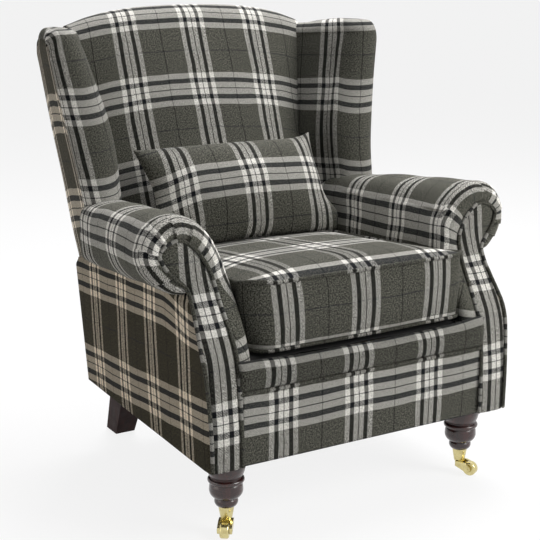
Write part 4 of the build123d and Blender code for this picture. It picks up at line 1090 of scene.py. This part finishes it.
def inflate(obj, pressure, frames, pinned, stiff=12.0):
    """Fills a cushion with air pressure as cloth, and keeps the shape it takes."""
    rest = np.array([v.co for v in obj.data.vertices])
    group = obj.vertex_groups.new(name="seam")
    for i, w in pinned.items():
        group.add([int(i)], w, "REPLACE")
    mod = obj.modifiers.new("fill", "CLOTH")
    s = mod.settings
    s.use_pressure = True
    s.uniform_pressure_force = pressure
    s.effector_weights.gravity = 0
    s.tension_stiffness = s.compression_stiffness = stiff
    s.shear_stiffness = stiff * 0.6
    s.bending_stiffness = 0.4
    s.vertex_group_mass = "seam"
    s.pin_stiffness = 1.0
    s.quality = 6
    scene = bpy.context.scene
    for f in range(1, frames + 1):
        scene.frame_set(f)
    shaped = obj.evaluated_get(bpy.context.evaluated_depsgraph_get()).to_mesh()
    moved = np.array([v.co for v in shaped.vertices])
    obj.modifiers.remove(mod)
    obj.vertex_groups.clear()
    scene.frame_set(1)
    step = moved - rest
    length = np.linalg.norm(step, axis=1)[:, None]
    step *= np.minimum(1, PUFF_CAP / np.maximum(length, 1e-9))
    obj.data.vertices.foreach_set("co", (rest + step).ravel())
    obj.data.update()


def make_seat_cushion():
    """Box cushion: crowned top, flat bottom and a boxing between them, with its piping and zip."""
    n, m = 61, 65
    X, Y = rounded_plan(n, m, SEAT_SIZE, SEAT_CORNERS)
    w, d = SEAT_SIZE[0] / 2, SEAT_SIZE[1] / 2
    # the front edge rolls over more sharply than the others
    roll = np.where(Y < 0, 0.42, 0.60)
    dome = np.clip(1 - (abs(X) / w) ** 3.2, 0, 1) ** 0.6 * np.clip(1 - (abs(Y) / d) ** 3.2, 0, 1) ** roll
    crease = 0.0014 * np.sin(X * 25 + Y * 13) * np.sin(Y * 21 - 1.0) * dome
    rise = 0.016 + 0.013 * (1 - smooth(0.0, 0.34, Y + d))
    spread = np.where(X < 0, SEAT_SPREAD[0], SEAT_SPREAD[1]) * X / w * (1 - smooth(0.030, 0.085, Y + d))
    top = joined(X + spread, Y + d, SEAT_EDGE + rise * dome + crease).reshape(-1, 3)
    low_spread = SEAT_SPREAD_LOW * np.clip(X / w, 0, 1) * (1 - smooth(0.015, 0.055, Y + d))
    droop = SEAT_DROOP[0] + (SEAT_DROOP[1] - SEAT_DROOP[0]) * smooth(0.0, w, X)
    droop = droop * (1 - smooth(0.005, 0.090, Y + d))
    bottom = joined(X * 0.985 + low_spread, Y * 0.985 + d, 0.0035 * (1 - dome) - droop).reshape(-1, 3)
    rim = rim_of(n, m)
    rim_n = len(rim)
    levels = 17
    low, high = bottom[rim], top[rim]
    out = np.roll(high, -1, 0) - np.roll(high, 1, 0)
    out = joined(out[:, 1], -out[:, 0], 0)
    out /= np.linalg.norm(out, axis=1)[:, None]
    # the boxing swells between its corners
    corner_x, corner_y = ((abs(a) - at) / 0.06 for a, at in ((high[:, 0], 0.19), (high[:, 1] - d, 0.20)))
    swell = 0.0075 * (1 - 0.6 * np.clip(corner_x, 0, 1) * np.clip(corner_y, 0, 1))[:, None]
    heights = np.linspace(0, 1, levels + 2)
    boxing = [low + (high - low) * t + out * swell * math.sin(math.pi * t) for t in heights[1:-1]]
    # the top's cloth follows its crown and is drawn tight over the front seam
    tight = 0.008 * (1 - smooth(0.0, 0.020, top[:, 1]))
    top_cloth = joined(top[:, 0], top[:, 1] + 0.35 * (top[:, 2] - SEAT_EDGE) + tight)
    count = n * m
    faces, uvs = [], []
    for offset, cloth, flip in ((0, top_cloth, False), (count, bottom[:, :2], True)):
        for quad in quads(n, m, flip):
            faces.append([q + offset for q in quad])
            uvs += list(laid(cloth[quad], "seat_top"))
    ring = [[int(q) + count for q in rim]]
    ring += [[2 * count + k * rim_n + i for i in range(rim_n)] for k in range(levels)]
    ring.append([int(q) for q in rim])
    around = arc_length(np.vstack([high, high[:1]]))
    for k in range(levels + 1):
        h0, h1 = heights[k:k + 2] * SEAT_EDGE
        for i in range(rim_n):
            j = (i + 1) % rim_n
            faces.append([ring[k][i], ring[k][j], ring[k + 1][j], ring[k + 1][i]])
            u0, u1 = around[i:i + 2] - (around[-1] if i >= rim_n // 2 else 0)
            uvs += list(laid(np.array([(u0, h0), (u1, h0), (u1, h1), (u0, h1)]), "seat_box"))
    verts = turned(np.vstack([top, bottom] + boxing), SEAT_TILT, SEAT_ORIGIN)
    cushion = new_mesh("seat_cushion_fabric", verts, faces, uvs, TARTAN, body="seat_cushion")
    pins = {i: 0.85 for i in rim}
    pins.update({i + count: 1.0 for i in range(count)})
    inflate(cushion, 3.0, 18, pins)
    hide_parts("seat_cushion_cover", "seat_cushion_core")
    # what is sewn to the cushion follows the shape that it took
    co = np.array([v.co for v in cushion.data.vertices]) + [0, DATUM_Y, 0]
    side = turned(out, SEAT_TILT, np.zeros(3))
    up = turned(np.array([0, 0, 1.0]), SEAT_TILT, np.zeros(3))
    for end, ids, lift in (("top", ring[-1], 0.0005), ("bottom", ring[0], 0.0015)):
        path = co[ids] + side * 0.0018 + up * lift
        bead = tube("seat_cushion_piping_" + end, path, SEAT_PIPING_RADIUS, PIPING_PAINTED_SHADE, body="seat_cushion",
                    closed=True, uv=(0.0, 0.035), wrinkle=0.04, beside="seat_box")
    # zip along the back of the boxing: tape, and two rows of teeth as one rib
    back = [k for k in range(rim_n) if high[k, 1] > 2 * d - 0.004 and abs(high[k, 0]) < ZIP_HALF]
    rear = side[back[0]]
    middle = np.array([co[ring[(levels + 1) // 2][k]] for k in back])
    middle = middle[np.argsort(middle[:, 0])] + rear * 0.0012
    tape_rows = [middle + up * h + rear * o for h, o in ZIP_TAPE]
    tape = grid("seat_cushion_zip_tape", np.array(tape_rows), np.zeros((len(ZIP_TAPE), len(middle), 2)), ZIP,
                body="seat_cushion", flip=True)
    thicken(tape, 0.0006)
    teeth = tube("seat_cushion_zip_teeth", middle + rear * 0.0012, 0.0014, ZIP, body="seat_cushion",
                 wrinkle=0.25)
    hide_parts("seat_cushion_zip")


def make_pillow():
    """Knife-edge scatter cushion, leaning on the inside back."""
    n, m = 87, 49
    w, h = PILLOW_SIZE[0] / 2, PILLOW_SIZE[1] / 2
    a, b = np.meshgrid(np.linspace(-1, 1, n), np.linspace(-1, 1, m))
    # the corners pull out into ears and the edges draw in between them
    side = np.where(a > 0, curve1(*PILLOW_RIGHT, b), curve1(*PILLOW_LEFT, b))
    level = np.where(b > 0, curve1(*PILLOW_TOP, a), curve1(*PILLOW_BOTTOM, a))
    X = a * w + side * abs(a) ** 3
    Y = b * h + level * abs(b) ** 3
    round_a = np.clip(1 - abs(a) ** 2.3, 0, 1) ** 0.62
    round_b = np.clip(1 - abs(b) ** 2.1, 0, 1) ** 0.58
    edge = round_a * round_b
    thick = PILLOW_DEPTH * edge
    # creases that run in from the drawn edges and the ears
    crease = np.sin(b * 9 + 1.2 * a) * np.exp(-((1 - abs(a)) / 0.20) ** 2) * (1 - b**2)
    crease += 0.6 * np.sin(a * 16 + 0.8) * np.exp(-((1 - abs(b)) / 0.30) ** 2) * (1 - a**2)
    wave = 0.0022 * np.sin(X * 34 + 0.7) * np.sin(Y * 42 + 0.4) * edge ** 0.5 + 0.0020 * crease * edge ** 0.3
    front = joined(X, Y, thick + wave).reshape(-1, 3)
    back = joined(X, Y, -thick * 0.80 + wave * 0.3).reshape(-1, 3)
    cloth = joined(X, Y + PILLOW_BEND * smooth(0.45, 1.0, -a)).reshape(-1, 2)
    # both faces share the points of the edge
    rim = rim_of(n, m)
    inner = sorted(set(range(n * m)) - set(rim))
    behind = {i: n * m + k for k, i in enumerate(inner)}
    faces, uvs = [], []
    for flip in (False, True):
        for quad in quads(n, m, flip):
            uvs += list(laid(cloth[quad], "pillow"))
            faces.append([behind.get(q, q) for q in quad] if flip else quad)
    verts = turned(np.vstack([front, back[inner]]), PILLOW_TILT, PILLOW_CENTRE)
    pillow = new_mesh("scatter_cushion_fabric", verts, faces, uvs, TARTAN, body="scatter_cushion")
    inflate(pillow, 2.5, 16, {i: 0.8 for i in rim})
    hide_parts("scatter_cushion_cover", "scatter_cushion_filling")


# ---- underside cloth
DUST_FRONT, DUST_REAR = -0.392, 0.243
DUST_Z = 0.1685


def make_dust_cloth():
    """Thin cloth stretched under the seat rails, sagging a little in the middle."""
    y = np.linspace(DUST_FRONT, DUST_REAR, 40)[:, None]
    t = np.linspace(-1, 1, 44)[None]
    X = (body_half(y) - 0.010) * t
    sag = (1 - t**4) * (1 - ((y - (DUST_FRONT + DUST_REAR) / 2) / 0.318) ** 4)
    P = joined(X, y, DUST_Z - 0.0035 * np.clip(sag, 0, 1) - 0.0006 * np.sin(X * 60) * np.sin(y * 47) * sag)
    cloth = grid("dust_cloth", P, P[..., :2], LINING, flip=True)
    thicken(cloth, 0.0008)
    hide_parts("dust_cover")


# ---- other materials
def make_wood(name, dark, light, rough, coat, axis="z", scale=1.0, gloss=0.5):
    """Stained or bare wood: rings and pores drawn out along its axis, paler where it is worn."""
    n = Surface(name)
    place = n.place()
    x, y, z = n.xyz(place)
    long = {"x": x, "y": y, "z": z}[axis]
    rest = [v for k, v in zip("xyz", (x, y, z)) if k != axis]
    stretched = n.combine(n.times(long, 1.6 * scale), n.times(rest[0], 26 * scale),
                          n.times(rest[1], 26 * scale))
    rings = n.noise(stretched, 3.0, 4.0, 0.62)
    pores = n.noise(n.combine(n.times(long, 30.0), n.times(rest[0], 900.0),
                              n.times(rest[1], 900.0)), 1.0, 2.0, 0.6)
    between = tuple((d + l) / 2 for d, l in zip(dark, light))
    figure = n.ramp(rings, [(0.28, dark), (0.52, between), (0.74, light)])
    pore = n.ramp(pores, [(0.30, (0.55, 0.5, 0.5)), (0.42, (1, 1, 1))])
    colour = n.mix(0.7, figure, pore, "MULTIPLY")
    wear = n.noise(place, 140.0, 3.0, 0.6)
    colour = n.mix(n.remap(wear, 0.62, 0.80, 0.0, 0.25), colour, light)
    r = n.remap(n.noise(place, 30.0, 3.0), 0.3, 0.7, rough - 0.07, rough + 0.1)
    n.bump(n.plus(pores, n.times(rings, 0.5)), 0.12 if coat else 0.35, 0.0006)
    return n.set(Base_Color=colour, Roughness=r, Coat_Weight=coat, Coat_Roughness=0.12,
                 Specular_IOR_Level=gloss)


def make_metal(name, colour, dull, rough, streaks=0.0):
    """Metal with dull clouds, and dark in its hollows."""
    n = Surface(name)
    place = n.place()
    cloud = n.noise(place, 90.0, 4.0, 0.6)
    fine = n.noise(place, 900.0, 3.0, 0.7)
    tint = n.mix(n.remap(cloud, 0.42, 0.75, 0.0, 0.55), colour, dull)
    edge = n.new("NewGeometry").outputs["Pointiness"]
    tint = n.mix(n.remap(edge, 0.44, 0.50, 0.6, 0.0), tint, tuple(c * 0.35 for c in dull))
    r = n.plus(n.remap(cloud, 0.3, 0.7, rough - 0.05, rough + 0.10), n.times(fine, 0.06))
    n.bump(fine, 0.06 + streaks, 0.0003)
    return n.set(Base_Color=tint, Metallic=1.0, Roughness=r)


def make_cloth(name, colour, other, scale, rough=0.9, bump=0.4):
    """Plain woven cloth: crossing threads by place, with uneven dye."""
    n = Surface(name)
    place = n.place()
    x, y, z = n.xyz(place)
    a = n.math("SINE", n.times(n.plus(x, n.times(z, 0.5)), scale))
    b = n.math("SINE", n.times(n.plus(y, n.times(z, 0.5)), scale))
    weave = n.times(a, b)
    fuzz = n.noise(place, 420.0, 3.0, 0.65)
    share = n.plus(n.remap(weave, -1, 1, 0.15, 0.6), n.times(fuzz, 0.4))
    tone = n.mix(share, colour, other)
    patch = n.noise(place, 9.0, 3.0)
    tone = n.mix(1.0, tone, n.ramp(patch, [(0.3, (0.88,) * 3), (0.7, (1.1,) * 3)]), "MULTIPLY")
    n.bump(n.plus(weave, fuzz), bump, 0.0005)
    return n.set(Base_Color=tone, Roughness=rough, Sheen_Weight=0.2, Specular_IOR_Level=0.2)


DECK = make_cloth("deck_cloth", srgb(22, 22, 23), srgb(44, 44, 44), 2400.0)
LINING = make_cloth("dust_cover_cloth", srgb(14, 14, 15), srgb(34, 34, 35), 1500.0, bump=0.6)
ZIP = make_cloth("zip_tape", srgb(16, 16, 16), srgb(38, 38, 38), 3800.0, rough=0.6)
LEG_WOOD = make_wood("stained_leg_wood", srgb(26, 10, 11), srgb(62, 24, 20), 0.28, 0.5)
REAR_LEG_WOOD = make_wood("stained_rear_leg_wood", srgb(20, 8, 8), srgb(46, 19, 15), 0.55, 0.0, gloss=0.10)
FRAME_WOOD = make_wood("frame_wood", srgb(150, 112, 70), srgb(206, 170, 122), 0.62, 0.0, axis="x")
BRASS = make_metal("polished_brass", srgb(216, 204, 150), srgb(160, 142, 88), 0.20)
STEEL = make_metal("zinc_steel", srgb(190, 192, 196), srgb(140, 142, 146), 0.34, 0.05)
HESSIAN = make_cloth("jute_hessian", srgb(120, 92, 56), srgb(176, 144, 96), 2100.0, bump=0.7)
WEBBING = make_cloth("elastic_webbing", srgb(52, 46, 40), srgb(92, 84, 72), 2600.0, bump=0.6)
FOAM = make_cloth("cut_foam", srgb(214, 204, 170), srgb(232, 224, 196), 5200.0)
NYLON = make_cloth("nylon_glide", srgb(46, 38, 30), srgb(58, 48, 38), 900.0, rough=0.45, bump=0.1)

NODE_FINISH = [         # part of a node's name, and its finish: the first that fits is taken
    ("castor_", BRASS), ("front_leg_bolts", STEEL), ("front_leg", LEG_WOOD), ("rear_leg_screws", STEEL),
    ("rear_leg_glides", NYLON), ("rear_leg", REAR_LEG_WOOD), ("frame_screws", STEEL),
    ("seat_springs", STEEL), ("spring_clips", STEEL), ("hessian", HESSIAN), ("webbing", WEBBING),
    ("_rail", FRAME_WOOD), ("_post", FRAME_WOOD), ("_board", FRAME_WOOD), ("corner_blocks", FRAME_WOOD),
    ("zip", ZIP), ("core", FOAM), ("filling", FOAM), ("dust", LINING),
]
for node_name, node in NODES.items():
    finish = next((m for key, m in NODE_FINISH if key in node_name), TARTAN)
    node.data.materials.clear()
    node.data.materials.append(finish)

for side in ("left", "right"):
    make_outside_arm(side)
    make_wing(side)
make_front()
make_deck()
make_back()
make_outside_back()
make_dust_cloth()
make_seat_cushion()
make_pillow()


# ---- room, light and camera
BACKDROP_SHARE = 0.86       # how much of the floor's look is backdrop white, the rest keeps the shadow
FLOOR_HALF = 30
LAMP_TARGET = (0, 0, 0.5)
LAMPS = (       # name, place, size, power, colour
    ("key_light", (2.2, -2.9, 2.4), 1.8, 116, (1.0, 0.99, 0.97)),
    ("fill_light", (-3.4, 0.3, 1.1), 2.0, 13, (1.0, 0.93, 0.84)),
    ("top_light", (1.0, 0.9, 3.5), 2.3, 190, (0.99, 0.98, 1.0)),
)


def make_floor():
    """Pale floor that looks nearly as white as the backdrop, directly or in gloss."""
    e = FLOOR_HALF
    mesh = bpy.data.meshes.new("studio_floor")
    mesh.from_pydata([(-e, -e, 0), (e, -e, 0), (e, e, 0), (-e, e, 0)], [], [(0, 1, 2, 3)])
    floor = bpy.data.objects.new("studio_floor", mesh)
    bpy.context.scene.collection.objects.link(floor)
    n = Surface("studio_floor_paint")
    n.set(Base_Color=(0.84, 0.84, 0.84), Roughness=0.7, Specular_IOR_Level=0.1)
    mesh.materials.append(n.material)
    glow = n.new("Emission")
    n.put(glow.inputs["Color"], (1, 1, 1))
    n.blend(n.times(n.seen(), BACKDROP_SHARE), n.shader, glow, n.out)


def make_world():
    """Weak soft light from all round, and a white backdrop for the camera."""
    world = bpy.data.worlds.new("studio")
    bpy.context.scene.world = world
    world.use_nodes = True
    n = Nodes(world.node_tree)
    soft, backdrop = n.new("Background"), n.new("Background")
    for shader, colour, strength in ((soft, (0.95, 0.97, 1.0), 0.16), (backdrop, (0.97, 0.97, 0.97), 1.0)):
        n.put(shader.inputs["Color"], colour)
        n.put(shader.inputs["Strength"], strength)
    n.blend(n.seen(), soft, backdrop, n.new("OutputWorld"))


def make_lamps():
    """Three square area lamps, all turned to the middle of the chair."""
    for name, place, size, power, colour in LAMPS:
        light = bpy.data.lights.new(name, "AREA")
        light.shape, light.size, light.energy, light.color = "SQUARE", size, power, colour
        lamp = bpy.data.objects.new(name, light)
        lamp.location = place
        lamp.rotation_euler = (Vector(LAMP_TARGET) - Vector(place)).to_track_quat("-Z", "Y").to_euler()
        bpy.context.scene.collection.objects.link(lamp)


def make_camera():
    """Camera that was solved from the photograph."""
    data = bpy.data.cameras.new("photo_camera")
    data.sensor_width = 36
    data.lens = 84.53
    data.clip_end = 100
    camera = bpy.data.objects.new("photo_camera", data)
    camera.location = (-1.4631, -2.4741 - DATUM_Y, 1.1616)
    camera.rotation_euler = (math.radians(76.0), math.radians(0.06), math.radians(-30.74))
    bpy.context.scene.collection.objects.link(camera)
    bpy.context.scene.camera = camera


make_floor()
make_world()
make_lamps()
make_camera()
bpy.context.scene.view_settings.view_transform = "Standard"

bpy.context.view_layer.update()
